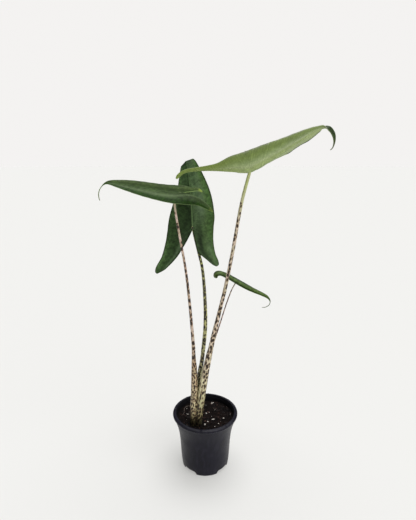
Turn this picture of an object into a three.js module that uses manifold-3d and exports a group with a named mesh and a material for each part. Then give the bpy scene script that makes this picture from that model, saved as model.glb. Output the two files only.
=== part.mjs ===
// Alocasia zebrina: a young plant with four arrow-shaped leaves, in a round nursery pot of thin plastic.
//
// Millimetres, +Z up. The origin is the centre of the pot's underside, where the pot stands. Two leaves reach
// out along -X and +X, one hangs behind the pot's centre, and the smallest lies low on the +X side.
import * as THREE from "three";
import { mergeGeometries, mergeVertices } from "three/addons/utils/BufferGeometryUtils.js";
import Module from "manifold-3d";

const wasm = await Module();
wasm.setup();

// ---- Driving dimensions ----

const clearance = 0.3; // between solids that touch

const potWall = 1.4;
const potSegments = 48;
// The pot's outer side, as [radius, height]: a slight cone that flares out under the lip.
const potSide = [
  [42.5, 0],
  [43.8, 1.5],
  [45, 10],
  [46.2, 25],
  [46.9, 40],
  [47.7, 52],
  [48.8, 63],
  [50.2, 73],
  [52.2, 82],
  [54.6, 90],
  [57.2, 98],
  [58.6, 102.5],
];
// The rounded lip above it, and the inner wall below the lip, which stands in by a small ledge.
const lipSide = [
  [59.6, 103],
  [60.6, 104],
  [60.8, 105.4],
  [60.2, 106.8],
  [58.4, 107.9],
  [56, 108.5],
  [54.8, 108.2],
];
const lip = { top: 108.5, inside: 54.2, ledge: 0.7, ledgeHeight: 103.5 };
// The recesses between the feet are arches, narrower at the top than at the foot.
const recess = { count: 4, turn: 49, width: 25, spread: 36, depth: 10, height: 7 };
const drain = { width: 12, depth: 3.2 };
const lug = { count: 8, turn: -96, width: 3.4, height: 1.4, length: 3, radius: 58.4, sunk: 0.9 };

const soilLevel = 97;
const soilBump = 1.1;
const soilRough = 50; // radius of the rough part of its top
const soilRings = 9;
const rootDepth = 80; // height of the sheaths' lower ends, inside the soil

const bladeThickness = 0.8;
const midrib = { depth: 1.5, width: 0.07 }; // depth under the blade, width as a share of the half blade
const bladeRows = { lobe: 10, front: 19 };
const bladeColumns = [0, midrib.width, 0.36, 0.7, 1];

const stalkSides = 12;
const stalkSteps = 34;

// ---- The four leaves ----
//
// Each list holds [x, value] knots along the leaf: x is -1 at the lobe's end, 0 at the stalk, 1 at the tip.
// Heading, rise and roll are the midrib's direction in degrees. Each half has the length of its lobe, its
// outer and inner edges as distances from the midrib line, the extra rise of its lobe (droop), the angle at
// which it leaves the midrib (lift), how far it turns from there to its margin (curl), and its waves.

// The margin of the front of a half blade, for its widest half-width.
function frontMargin(width) {
  return [
    [0.12, width * 0.98],
    [0.35, width * 0.83],
    [0.6, width * 0.52],
    [0.76, width * 0.24],
    [0.86, width * 0.1],
    [1, 0.7],
  ];
}

const leafLeft = {
  base: [-33, -50, 520],
  length: 150,
  heading: [[-1, 180], [1, 180]],
  rise: [[-1, -4], [0, 5], [0.3, 9], [0.6, 8], [0.74, 4], [0.8, -30], [0.88, -62], [1, -112]],
  roll: [[-1, -12], [0, -13], [0.6, -16], [0.8, -14], [1, 0]],
  left: {
    side: 1,
    lobe: 55.5,
    outer: [[-1, 11], [-0.93, 12.5], [-0.7, 17.5], [-0.4, 25], [0, 32], [0.12, 32.3], [0.35, 25],
      [0.6, 15.5], [0.76, 7.5], [0.86, 3.4], [1, 0.7]],
    inner: [[-1, 10], [-0.9, 6.5], [-0.5, 1.5], [0, 0]],
    droop: [[-1, 43], [-0.5, 30], [0, 0]],
    lift: [[-1, 4], [0.4, 4], [0.8, 0]],
    curl: [[-1, -40], [0, -40], [0.35, -32], [0.7, -16], [1, 0]],
    wave: 0.8,
    waves: 3,
    waveStart: 0.6,
  },
  right: {
    side: -1,
    lobe: 27.5,
    outer: [[-1, 24], [-0.93, 27], [-0.7, 32], [-0.4, 34], [0, 35], ...frontMargin(34)],
    inner: [[-1, 22], [-0.9, 18], [-0.5, 9], [0, 0]],
    droop: [[-1, 42], [-0.8, 18], [-0.6, 4], [0, 0]],
    lift: [[-1, 0], [1, 0]],
    curl: [[-1, 0], [1, 0]],
    wave: 0.8,
    waves: 3,
    waveStart: 2,
  },
};

const leafRight = {
  base: [65, -55, 551],
  length: 173.5,
  heading: [[-1, 0], [1, 0]],
  rise: [[-1, 56], [-0.9, 32], [-0.8, 8], [-0.5, -1], [-0.35, -3], [-0.06, 2], [0.06, 27], [0.3, 32],
    [0.55, 32], [0.67, 27], [0.72, 7], [0.755, -17], [0.795, -47], [0.85, -70], [0.91, -90], [1, -116]],
  roll: [[-1, 0], [0.7, 0], [0.745, 45], [0.79, 84], [1, 90]],
  left: {
    side: 1,
    lobe: 62,
    outer: [[-1, 14], [-0.9, 17], [-0.6, 24], [-0.3, 32], [0, 35], [0.12, 34.5], [0.3, 31], [0.35, 31.5],
      [0.41, 33], [0.48, 29], [0.6, 24], [0.68, 17], [0.74, 8], [0.78, 4], [0.84, 3.4], [0.9, 2.4],
      [1, 0.7]],
    inner: [[-1, 12.5], [-0.9, 10], [-0.5, 6], [0, 0]],
    droop: [[-1, -66], [-0.9, -40], [-0.8, -16], [-0.6, -5], [0, 0]],
    lift: [[-1, 8], [0, 2], [0.1, -3], [0.2, -1], [0.3, -3], [0.4, -10], [0.5, -14], [0.6, -19],
      [0.7, -14], [1, 16]],
    curl: [[-1, 0], [1, 0]],
    wave: 1.2,
    waves: 4,
    waveStart: 1,
  },
  right: {
    side: -1,
    lobe: 109,
    outer: [[-1, 7], [-0.96, 9.5], [-0.66, 10.5], [-0.5, 13], [-0.42, 17], [-0.36, 22], [-0.29, 28],
      [-0.15, 34], [0, 36], [0.12, 34], [0.35, 31], [0.5, 28], [0.6, 22], [0.68, 13], [0.74, 7],
      [0.78, 4], [0.84, 3.4], [0.9, 2.4], [1, 0.7]],
    inner: [[-1, 4], [-0.96, 1.5], [-0.5, 1.5], [0, 0]],
    droop: [[-1, 0], [0, 0]],
    lift: [[-1, 10], [-0.5, 22], [0, 35], [0.35, 20], [0.6, 14], [1, 10]],
    curl: [[-1, 40], [0, 36], [0.6, 20], [1, 0]],
    wave: 0.8,
    waves: 3,
    waveStart: 0,
  },
};

const leafMiddle = {
  base: [-22, 36, 449],
  length: 180,
  heading: [[-1, 90], [-0.15, 90], [0.1, 120], [0.45, 120], [0.65, 102], [1, 88]],
  rise: [[-1, 72], [-0.3, 76], [0, 84], [0.2, 83], [0.45, 77], [0.59, 60], [0.67, 32], [0.75, -14],
    [0.86, -60], [1, -82]],
  roll: [[-1, 0], [-0.15, 0], [0.1, -34], [0.4, -52], [0.6, -38], [0.75, -26], [1, -10]],
  left: {
    side: 1,
    lobe: 79,
    outer: [[-1, 64.5], [-0.96, 67], [-0.85, 65.5], [-0.62, 55], [-0.3, 48.5], [0, 45], [0.12, 42],
      [0.35, 33.4], [0.6, 22.5], [0.76, 11.5], [0.86, 4.5], [1, 0.7]],
    inner: [[-1, 63], [-0.96, 56], [-0.9, 48], [-0.65, 28.5], [-0.4, 16], [-0.09, 3], [0, 0]],
    droop: [[-1, 0], [0, 0]],
    lift: [[-1, 0], [0, 0], [0.4, -17], [0.62, -23], [1, -20]],
    curl: [[-1, -10], [0, -8], [1, 0]],
    wave: 1.2,
    waves: 3,
    waveStart: 0,
  },
  right: {
    side: -1,
    lobe: 66,
    outer: [[-1, 43.5], [-0.96, 47], [-0.85, 46.5], [-0.65, 41], [-0.3, 37], [0, 37.5], [0.12, 40],
      [0.35, 35], [0.6, 20.5], [0.76, 9.6], [0.86, 4], [1, 0.7]],
    inner: [[-1, 42], [-0.96, 36.5], [-0.8, 23.5], [-0.62, 10], [-0.4, 5.5], [-0.15, 2], [0, 0]],
    droop: [[-1, 0], [0, 0]],
    lift: [[-1, 0], [0, 0], [0.4, -18], [0.62, -10], [1, -16]],
    curl: [[-1, -10], [0, -8], [1, 0]],
    wave: 1.2,
    waves: 3,
    waveStart: 2,
  },
};

const leafSmall = {
  base: [56, 30, 359],
  length: 102.5,
  heading: [[-1, 0], [1, 0]],
  rise: [[-1, 104], [-0.9, 80], [-0.78, 36], [-0.66, 0], [-0.5, -22], [-0.2, -33], [0, -31], [0.3, -27],
    [0.59, -31], [0.7, -56], [0.8, -98], [0.89, -145], [1, -190]],
  roll: [[-1, 0], [1, 0]],
  left: {
    side: 1,
    lobe: 54,
    outer: [[-1, 6], [-0.94, 8.5], [-0.5, 11.5], [0, 12], ...frontMargin(12)],
    inner: [[-1, 4.5], [-0.94, 2], [-0.5, 0.8], [0, 0]],
    droop: [[-1, 0], [0, 0]],
    lift: [[-1, -26], [-0.6, -22], [-0.2, -5], [0.2, -7], [0.4, -10], [1, -10]],
    curl: [[-1, 0], [1, 0]],
    wave: 0.4,
    waves: 3,
    waveStart: 0,
  },
  right: {
    side: -1,
    lobe: 54,
    outer: [[-1, 12], [-0.94, 16], [-0.8, 16.5], [-0.6, 13.6], [-0.4, 12.6], [0, 12.8], [0.12, 12.8],
      [0.35, 11.6], [0.6, 9.2], [0.72, 6], [0.8, 2.5], [0.88, 1.2], [1, 0.7]],
    inner: [[-1, 6], [-0.94, 2], [-0.5, 0.8], [0, 0]],
    droop: [[-1, 0], [0, 0]],
    lift: [[-1, -18], [1, -18]],
    curl: [[-1, -14], [1, -14]],
    wave: 0.4,
    waves: 3,
    waveStart: 2,
  },
};

// Each stalk rises from the soil to the underside of its blade, at the base of the midrib.
const stalkLeft = {
  path: [
    [-21, -21, rootDepth],
    [-21, -21.5, 104],
    [-19.3, -25, 170],
    [-19.3, -29, 236],
    [-22.4, -33, 295],
    [-30.5, -39.5, 391],
    [-42, -45.5, 468],
    [-46, -48, 502],
    [-45, -49, 511],
    [-36.5, -50, 520.5],
  ],
  width: [[80, 13.8], [110, 13.8], [170, 11.6], [200, 9.8], [216, 8.2], [240, 4.5], [300, 4], [400, 3.4],
    [520, 2.8]],
};

const stalkMiddle = {
  path: [
    [-15, -14, rootDepth],
    [-14.5, -14, 104],
    [-12, -9, 170],
    [-4.5, -1.5, 225],
    [0.4, 8, 275],
    [0, 18, 319],
    [-5, 29, 379],
    [-12, 37, 408],
    [-19, 41.5, 436],
    [-22.5, 37, 454],
  ],
  width: [[80, 13], [110, 13], [170, 10], [202, 7.5], [234, 5.6], [300, 5], [400, 4.2], [450, 4]],
};

const stalkRight = {
  path: [
    [-13, -23, rootDepth],
    [-12.6, -23, 104],
    [-5.4, -25.3, 162],
    [6.3, -30, 234],
    [20.5, -35, 303],
    [33.3, -39, 362],
    [44.4, -44, 425],
    [57, -50, 505],
    [68, -55, 552.5],
  ],
  width: [[80, 14], [110, 14], [165, 13.4], [216, 11.5], [240, 9.6], [269, 7.4], [300, 6], [380, 5.4],
    [552, 4.6]],
};

const stalkSmall = {
  path: [
    [-9, -14, rootDepth],
    [-8.6, -14, 104],
    [-3, -8, 160],
    [10, 3.5, 225],
    [25.4, 14, 273],
    [41, 24, 320],
    [49, 28, 340],
    [54, 29.5, 349],
    [58.5, 30, 356],
  ],
  width: [[80, 6], [110, 6], [200, 3.6], [240, 2.6], [350, 2]],
};

// ---- Solids and meshes ----

function solidFrom(geometry) {
  const bare = new THREE.BufferGeometry();
  bare.setAttribute("position", geometry.getAttribute("position"));
  bare.setIndex(geometry.index);
  const merged = mergeVertices(bare, 1e-3);
  return new wasm.Manifold(
    new wasm.Mesh({
      numProp: 3,
      vertProperties: new Float32Array(merged.attributes.position.array),
      triVerts: new Uint32Array(merged.index.array),
    }),
  );
}

function largestBody(solid) {
  return solid.decompose().reduce((a, b) => (a.volume() > b.volume() ? a : b));
}

function meshOf(name, solid, look) {
  const { vertProperties, triVerts } = solid.getMesh();
  const geometry = new THREE.BufferGeometry();
  geometry.setAttribute("position", new THREE.BufferAttribute(vertProperties, 3));
  geometry.setIndex(new THREE.BufferAttribute(triVerts, 1));
  geometry.computeVertexNormals();
  const mesh = new THREE.Mesh(geometry, new THREE.MeshStandardMaterial({ metalness: 0, ...look }));
  mesh.name = name;
  return mesh;
}

const radians = THREE.MathUtils.degToRad;

// A smooth curve through [x, value] knots, read at x.
function along(knots, x) {
  const last = knots.length - 1;
  if (x <= knots[0][0]) return knots[0][1];
  if (x >= knots[last][0]) return knots[last][1];
  const i = knots.findIndex(([at]) => at > x) - 1;
  const slope = (k) => {
    const a = knots[Math.max(k - 1, 0)];
    const b = knots[Math.min(k + 1, last)];
    return (b[1] - a[1]) / (b[0] - a[0]);
  };
  const [x0, v0] = knots[i];
  const [x1, v1] = knots[i + 1];
  const span = x1 - x0;
  const f = (x - x0) / span;
  return (
    v0 * (1 + 2 * f) * (1 - f) ** 2 +
    slope(i) * span * f * (1 - f) ** 2 +
    v1 * f * f * (3 - 2 * f) +
    slope(i + 1) * span * f * f * (f - 1)
  );
}

// A profile of [radius, height] points turned about the Z axis.
function turned(profile) {
  const points = profile.map(([r, z]) => new THREE.Vector2(r, z));
  return new THREE.LatheGeometry(points, potSegments).rotateX(Math.PI / 2);
}

// A box in the pot's frame: turned to an angle about the Z axis, at a radius and a height.
function boxAt(angle, radius, height, size) {
  const box = new THREE.BoxGeometry(...size);
  return box.translate(radius, 0, height).rotateZ(radians(angle));
}

// ---- Pot ----

function recessAngles() {
  return Array.from({ length: recess.count }, (_, i) => recess.turn + (i * 360) / recess.count);
}

// One recess as a body with a narrowed top, grown all round by a margin.
function recessBody(angle, margin) {
  const inner = potSide[0][0] - recess.depth;
  const outer = potSide[0][0] + 10;
  const size = [outer - inner + 2 * margin, recess.spread + 2 * margin, 2 * (recess.height + margin)];
  const body = new THREE.BoxGeometry(...size);
  const narrow = (recess.width + 2 * margin) / (recess.spread + 2 * margin);
  const place = body.getAttribute("position");
  for (let i = 0; i < place.count; i++) {
    if (place.getZ(i) > 0) place.setY(i, place.getY(i) * narrow);
  }
  return body.translate((inner + outer) / 2, 0, 0).rotateZ(radians(angle));
}

function recesses(margin) {
  return recessAngles()
    .map((angle) => solidFrom(recessBody(angle, margin)))
    .reduce((a, b) => a.add(b));
}

// The space inside the pot's side as a turned body, a margin in from its outer face, up to a height.
function insideOf(margin, height, top) {
  const widest = lip.inside - lip.ledge + potWall - margin;
  const side = potSide
    .filter(([, z]) => z > margin && z < height)
    .map(([r, z]) => [Math.min(r - margin, widest), z]);
  const radiusAtTop = Math.min(along(potSide.map(([r, z]) => [z, r]), height) - margin, widest);
  return turned([[0, margin], [potSide[0][0] - margin, margin], ...side, [radiusAtTop, height], ...top]);
}

function makePot() {
  const { top, inside, ledge, ledgeHeight } = lip;
  const outside = solidFrom(
    turned([[0, 0], ...potSide, ...lipSide, [0, top - 0.3]]),
  ).subtract(recesses(0));
  const hollow = solidFrom(
    insideOf(potWall, ledgeHeight - 1.2, [
      [inside - ledge, ledgeHeight],
      [inside, ledgeHeight + 0.6],
      [inside, top - 1],
      [inside + 1.4, top + 0.6],
      [inside + 1.4, top + 2],
      [0, top + 2],
    ]),
  ).subtract(recesses(potWall));
  const lugs = Array.from({ length: lug.count }, (_, i) =>
    solidFrom(
      boxAt(lug.turn + (i * 360) / lug.count, lug.radius, top - lug.sunk, [
        lug.length,
        lug.width,
        lug.height,
      ]),
    ),
  );
  const drains = recessAngles().map((angle) =>
    solidFrom(
      boxAt(angle, potSide[0][0] - recess.depth + 4, recess.height, [drain.depth, drain.width, 6]),
    ),
  );
  const shell = lugs.reduce((solid, piece) => solid.add(piece), outside).subtract(hollow);
  return drains.reduce((solid, piece) => solid.subtract(piece), shell);
}

// ---- Stalks ----

// A leaf stalk with its sheath: a round section that follows a curve through the given points.
// The width is read at each height, and the growth thickens the stalk all round.
function stalk({ path, width }, growth = 0) {
  const curve = new THREE.CatmullRomCurve3(path.map((point) => new THREE.Vector3(...point)));
  const rod = new THREE.CylinderGeometry(1, 1, 1, stalkSides, stalkSteps);
  const frames = curve.computeFrenetFrames(stalkSteps);
  const centres = curve.getSpacedPoints(stalkSteps);
  const place = rod.getAttribute("position");
  const vertex = new THREE.Vector3();
  for (let i = 0; i < place.count; i++) {
    vertex.fromBufferAttribute(place, i);
    const step = Math.round((vertex.y + 0.5) * stalkSteps);
    const centre = centres[step];
    const radius = along(width, centre.z) / 2 + growth;
    const end = step === 0 ? -growth : step === stalkSteps ? growth : 0;
    const point = centre
      .clone()
      .addScaledVector(frames.normals[step], vertex.x * radius)
      .addScaledVector(frames.binormals[step], -vertex.z * radius)
      .addScaledVector(frames.tangents[step], end);
    place.setXYZ(i, point.x, point.y, point.z);
  }
  return solidFrom(rod);
}

// ---- Blades ----

// The directions of a blade at a place on its midrib: forward along it, aside to the leaf's left, and up
// out of its upper face. Heading, rise and roll are degrees.
function frameOf(heading, rise, roll) {
  const turn = radians(heading);
  const climb = radians(rise);
  const lean = radians(roll);
  const forward = new THREE.Vector3(
    Math.cos(climb) * Math.cos(turn),
    Math.cos(climb) * Math.sin(turn),
    Math.sin(climb),
  );
  const level = new THREE.Vector3(-Math.sin(turn), Math.cos(turn), 0);
  const aside = level.applyAxisAngle(forward, lean);
  const up = forward.clone().cross(aside);
  return { forward, aside, up };
}

// The midrib of one half, as places with their frames: from the lobe's end (x = -1) through the stalk's
// top (x = 0) to the tip (x = 1).
function spineOf(leaf, half) {
  const steps = 240;
  const at = (x) => {
    const droop = x < 0 ? along(half.droop, x) : 0;
    return frameOf(along(leaf.heading, x), along(leaf.rise, x) + droop, along(leaf.roll, x));
  };
  const walk = (direction, length) => {
    const places = [new THREE.Vector3(...leaf.base)];
    for (let i = 0; i < steps; i++) {
      const { forward } = at((direction * (i + 0.5)) / steps);
      places.push(places[i].clone().addScaledVector(forward, (direction * length) / steps));
    }
    return places;
  };
  const back = walk(-1, half.lobe);
  const front = walk(1, leaf.length);
  return (x) => {
    const places = x < 0 ? back : front;
    const reach = Math.abs(x) * steps;
    const k = Math.min(Math.floor(reach), steps - 1);
    const place = places[k].clone().lerp(places[k + 1], reach - k);
    return { place, ...at(x) };
  };
}

// A point of the upper face of one half: x runs along the leaf, v from the inner edge to the margin.
function bladePoint(leaf, half, spine, x, v) {
  const { place, aside, up } = spine(x);
  const inner = x < 0 ? along(half.inner, x) : 0;
  const outer = along(half.outer, x);
  const across = inner + (outer - inner) * v;
  const start = radians(along(half.lift, x));
  const bend = radians(along(half.curl, x)) / Math.max(outer, 1);
  const end = start + bend * across;
  const flat = Math.abs(bend) < 1e-6;
  const out = flat ? across * Math.cos(start) : (Math.sin(end) - Math.sin(start)) / bend;
  const rise = flat ? across * Math.sin(start) : (Math.cos(start) - Math.cos(end)) / bend;
  const share = across / Math.max(outer, 1);
  const wave = half.wave * Math.sin(half.waveStart + half.waves * Math.PI * x) * share ** 2 * (1 - x ** 4);
  return place.addScaledVector(aside, half.side * out).addScaledVector(up, rise + wave);
}

// Where the rows of a blade cross its midrib: closer together at the lobes' ends and towards the tip.
function bladePlaces() {
  const lobe = Array.from({ length: bladeRows.lobe }, (_, i) => (i / bladeRows.lobe) ** 1.35 - 1);
  const front = Array.from({ length: bladeRows.front + 1 }, (_, i) => 1 - (1 - i / bladeRows.front) ** 1.45);
  return [...lobe, ...front];
}

// The upper face of one half, with the blade's thickness at each of its vertices.
function halfSheet(leaf, half) {
  const places = bladePlaces();
  const columns = bladeColumns.length;
  const sheet = new THREE.PlaneGeometry(1, 1, columns - 1, places.length - 1);
  const spine = spineOf(leaf, half);
  const place = sheet.getAttribute("position");
  const thickness = new Float32Array(place.count);
  for (let i = 0; i < place.count; i++) {
    const x = places[Math.floor(i / columns)];
    const v = bladeColumns[i % columns];
    const point = bladePoint(leaf, half, spine, x, v);
    place.setXYZ(i, point.x, point.y, point.z);
    const ridge = v === 0 && x >= 0 ? midrib.depth * (1 - x) ** 0.6 : 0;
    thickness[i] = bladeThickness + ridge;
  }
  sheet.setAttribute("thickness", new THREE.BufferAttribute(thickness, 1));
  sheet.deleteAttribute("normal");
  sheet.deleteAttribute("uv");
  if (half.side > 0) sheet.index.array.reverse();
  return sheet;
}

// A closed body from a sheet: the sheet itself above, the same triangles below it, and a wall all round.
function thicken(sheet, growth) {
  sheet.computeVertexNormals();
  const place = sheet.getAttribute("position");
  const normal = sheet.getAttribute("normal");
  const thickness = sheet.getAttribute("thickness");
  const count = place.count;
  const above = Array.from(sheet.index.array);
  const below = above.map((i) => i + count).reverse();
  const edges = new Set();
  for (let i = 0; i < above.length; i += 3) {
    const corners = above.slice(i, i + 3);
    corners.forEach((corner, k) => edges.add(`${corner} ${corners[(k + 1) % 3]}`));
  }
  const wall = [];
  const outward = Array.from({ length: count }, () => new THREE.Vector3());
  for (const edge of edges) {
    const [a, b] = edge.split(" ").map(Number);
    if (edges.has(`${b} ${a}`)) continue;
    wall.push(b, a, a + count, b, a + count, b + count);
    const run = new THREE.Vector3().fromBufferAttribute(place, b);
    run.sub(new THREE.Vector3().fromBufferAttribute(place, a));
    const away = run.cross(new THREE.Vector3().fromBufferAttribute(normal, a)).normalize();
    outward[a].add(away);
    outward[b].add(away);
  }
  const vertices = new Float32Array(count * 6);
  const out = new THREE.Vector3();
  for (let i = 0; i < count; i++) {
    out.fromBufferAttribute(normal, i);
    const point = new THREE.Vector3().fromBufferAttribute(place, i);
    point.addScaledVector(outward[i].normalize(), growth);
    point.clone().addScaledVector(out, growth).toArray(vertices, i * 3);
    point.addScaledVector(out, -thickness.getX(i) - growth).toArray(vertices, (count + i) * 3);
  }
  const body = new THREE.BufferGeometry();
  body.setAttribute("position", new THREE.BufferAttribute(vertices, 3));
  body.setIndex([...above, ...below, ...wall]);
  return solidFrom(body);
}

function blade(leaf, growth = 0) {
  const halves = [leaf.left, leaf.right].map((half) => halfSheet(leaf, half));
  return thicken(mergeVertices(mergeGeometries(halves), 1e-3), growth);
}

// ---- Soil ----

// The height of the soil's rough top at a place.
function soilTop(x, y) {
  const long = Math.sin(x * 0.31 + y * 0.17);
  const cross = Math.sin(y * 0.43 - x * 0.11 + 1.3);
  const short = Math.sin((x + y) * 0.71);
  return soilLevel + (soilBump * (long + cross + short)) / 3;
}

// The soil fills the pot, with one plain hole for the sheaths that stand in it. Its top is level at the pot's
// wall and rough inside that.
function makeSoil(stalks) {
  const margin = potWall + clearance;
  const rings = Array.from({ length: soilRings }, (_, i) => [soilRough * (1 - i / soilRings), soilLevel]);
  const body = insideOf(margin, soilLevel, [...rings, [0, soilLevel]]);
  const place = body.getAttribute("position");
  for (let i = 0; i < place.count; i++) {
    const [x, y, z] = [place.getX(i), place.getY(i), place.getZ(i)];
    const onTop = z > soilLevel - 0.01 && Math.hypot(x, y) < soilRough + 0.01;
    if (onTop) place.setZ(i, soilTop(x, y));
  }
  const filled = solidFrom(body).subtract(recesses(margin));
  return stalks.reduce((solid, each) => solid.subtract(stalk(each, clearance)), filled);
}

// ---- Assembly ----

const part = new THREE.Group();
part.name = "alocasia_zebrina";

const leaves = [
  { name: "right", stalk: stalkRight, leaf: leafRight, green: 0x3f6b35 },
  { name: "left", stalk: stalkLeft, leaf: leafLeft, green: 0x2f5a2c },
  { name: "middle", stalk: stalkMiddle, leaf: leafMiddle, green: 0x2c5429 },
  { name: "small", stalk: stalkSmall, leaf: leafSmall, green: 0x2f5a2c },
];

part.add(meshOf("pot", makePot(), { color: 0x26272a, roughness: 0.45 }));
part.add(meshOf("soil", makeSoil(leaves.map((each) => each.stalk)), { color: 0x2a1d17, roughness: 0.95 }));

// The sheaths clasp one another: each later one is cut back round those before it.
leaves.forEach((each, i) => {
  const neighbours = [
    ...leaves.slice(0, i).map((other) => stalk(other.stalk, clearance)),
    blade(each.leaf, clearance),
  ];
  const cut = neighbours.reduce((solid, other) => solid.subtract(other), stalk(each.stalk));
  part.add(meshOf(`petiole_${each.name}`, largestBody(cut), { color: 0xb3a27a, roughness: 0.6 }));
  part.add(meshOf(`blade_${each.name}`, blade(each.leaf), { color: each.green, roughness: 0.42 }));
});

export default part;
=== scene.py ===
import random
from math import atan2, cos, dist, exp, hypot, log, pi, radians, sin, sqrt

import bpy
from mathutils import Matrix, Vector, noise


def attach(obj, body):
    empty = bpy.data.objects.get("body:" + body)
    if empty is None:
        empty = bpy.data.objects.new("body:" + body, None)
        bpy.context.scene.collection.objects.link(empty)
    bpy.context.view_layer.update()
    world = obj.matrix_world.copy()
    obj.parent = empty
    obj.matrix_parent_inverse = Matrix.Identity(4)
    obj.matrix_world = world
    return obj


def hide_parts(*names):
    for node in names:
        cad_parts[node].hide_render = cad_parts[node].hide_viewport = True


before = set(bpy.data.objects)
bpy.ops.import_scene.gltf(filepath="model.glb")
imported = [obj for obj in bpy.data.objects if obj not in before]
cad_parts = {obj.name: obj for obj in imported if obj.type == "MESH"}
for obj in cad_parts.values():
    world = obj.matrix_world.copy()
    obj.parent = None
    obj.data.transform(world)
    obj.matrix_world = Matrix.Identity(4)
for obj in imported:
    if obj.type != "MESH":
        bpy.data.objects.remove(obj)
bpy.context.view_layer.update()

mm = 0.001
print("frame loaded:", len(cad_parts), "nodes")


# tools for modelling

def deselectAll():
    bpy.ops.object.select_all(action="DESELECT")


def activate(*pieces):
    deselectAll()
    for piece in pieces:
        piece.select_set(True)
    bpy.context.view_layer.objects.active = pieces[0]


def editMesh(piece, *steps):
    # each step is an operator with its settings, run on the whole mesh
    activate(piece)
    bpy.ops.object.mode_set(mode="EDIT")
    bpy.ops.mesh.select_all(action="SELECT")
    for operator, settings in steps:
        operator(**settings)
    bpy.ops.object.mode_set(mode="OBJECT")


def applyModifier(piece, kind, **settings):
    activate(piece)
    modifier = piece.modifiers.new(kind.title(), kind)
    for key, value in settings.items():
        setattr(modifier, key, value)
    bpy.ops.object.modifier_apply(modifier=modifier.name)


def cutBy(piece, cutter, operation="DIFFERENCE"):
    applyModifier(piece, "BOOLEAN", object=cutter, operation=operation, solver="EXACT")
    bpy.data.objects.remove(cutter)


def joinPieces(name, pieces):
    activate(*pieces)
    if len(pieces) > 1:
        bpy.ops.object.join()
    joined = bpy.context.active_object
    joined.name = name
    return joined


def gridSheet(name, columns, rows):
    # a flat grid with the column and row of each of its vertices
    deselectAll()
    bpy.ops.mesh.primitive_grid_add(x_subdivisions=columns, y_subdivisions=rows, size=1)
    sheet = bpy.context.active_object
    sheet.name = name
    spots = [
        (round((vertex.co.x + 0.5) * columns), round((vertex.co.y + 0.5) * rows))
        for vertex in sheet.data.vertices
    ]
    return sheet, spots


def storeVectors(piece, name, vectors):
    layer = piece.data.attributes.new(name, "FLOAT_VECTOR", "POINT")
    layer.data.foreach_set("vector", [number for vector in vectors for number in vector])


def addValues(layers, **values):
    # one vertex's values, each kept in the list of its own layer
    for name, value in values.items():
        layers.setdefault(name, []).append(value)


def storeLayers(piece, layers):
    for name, values in layers.items():
        layer = piece.data.attributes.new(name, "FLOAT", "POINT")
        layer.data.foreach_set("value", values)


def closeTube(piece, sides, gap=0.001):
    # a sheet rolled into a tube: its long seam is merged and any open end is filled
    editMesh(
        piece,
        (bpy.ops.mesh.remove_doubles, {"threshold": gap * mm}),
        (bpy.ops.mesh.fill_holes, {"sides": sides}),
        (bpy.ops.mesh.normals_make_consistent, {"inside": False}),
    )


def finishPiece(piece, looks, node, smooth=60):
    for look in looks:
        piece.data.materials.append(look)
    activate(piece)
    bpy.ops.object.shade_smooth_by_angle(angle=radians(smooth))
    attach(piece, "root")
    if node:
        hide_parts(node)


def along(knots, x):
    # a smooth curve through a table of values by x, read at x; a plain number is the same everywhere
    if not isinstance(knots, dict):
        return knots
    knots = list(knots.items())
    last = len(knots) - 1
    if x <= knots[0][0]:
        return knots[0][1]
    if x >= knots[last][0]:
        return knots[last][1]
    i = next(k for k in range(1, last + 1) if knots[k][0] > x) - 1

    def slope(k):
        (x0, v0), (x1, v1) = knots[max(k - 1, 0)], knots[min(k + 1, last)]
        return (v1 - v0) / (x1 - x0)

    (x0, v0), (x1, v1) = knots[i], knots[i + 1]
    span = x1 - x0
    f = (x - x0) / span
    return (
        v0 * (1 + 2 * f) * (1 - f) ** 2
        + slope(i) * span * f * (1 - f) ** 2
        + v1 * f * f * (3 - 2 * f)
        + slope(i + 1) * span * f * f * (f - 1)
    )


def smoothStep(low, high, x):
    f = min(max((x - low) / (high - low), 0), 1)
    return f * f * (3 - 2 * f)


def hump(x, width):
    return exp(-((x / width) ** 2))


# tools for materials

def newMaterial(name, **values):
    material = bpy.data.materials.new(name)
    material.use_nodes = True
    for key, value in values.items():
        material.node_tree.nodes["Principled BSDF"].inputs[key.replace("_", " ")].default_value = value
    return material, material.node_tree


def addNode(tree, kind, inputs=None, **settings):
    made = tree.nodes.new("ShaderNode" + kind)
    for key, value in settings.items():
        setattr(made, key, value)
    for key, value in (inputs or {}).items():
        if isinstance(value, bpy.types.NodeSocket):
            tree.links.new(value, made.inputs[key])
        else:
            made.inputs[key].default_value = value
    return made


def maths(tree, operation, *values):
    return addNode(tree, "Math", dict(enumerate(values)), operation=operation).outputs[0]


def times(tree, product, *values):
    for value in values:
        product = maths(tree, "MULTIPLY", product, value)
    return product


def ranged(tree, value, low, high, start=0.0, end=1.0, shape="SMOOTHSTEP"):
    inputs = {"Value": value, "From Min": low, "From Max": high, "To Min": start, "To Max": end}
    return addNode(tree, "MapRange", inputs, interpolation_type=shape).outputs[0]


def mixed(tree, factor, first, second):
    made = addNode(tree, "Mix", data_type="RGBA")
    for socket, value in zip((made.inputs[0], made.inputs[6], made.inputs[7]), (factor, first, second)):
        if isinstance(value, bpy.types.NodeSocket):
            tree.links.new(value, socket)
        else:
            socket.default_value = value if isinstance(value, float) else (*value, 1)
    return made.outputs[2]


def layered(tree, colour, *layers):
    # each layer is a value, where it starts and ends, its share at the start and at the end, and its colour
    for value, low, high, start, end, over in layers:
        colour = mixed(tree, ranged(tree, value, low, high, start, end), colour, over)
    return colour


def noiseOf(tree, vector, scale, detail=3.0, roughness=0.5, distortion=0.0):
    inputs = {"Vector": vector, "Scale": scale, "Detail": detail, "Roughness": roughness}
    return addNode(tree, "TexNoise", {**inputs, "Distortion": distortion}).outputs["Fac"]


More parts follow.
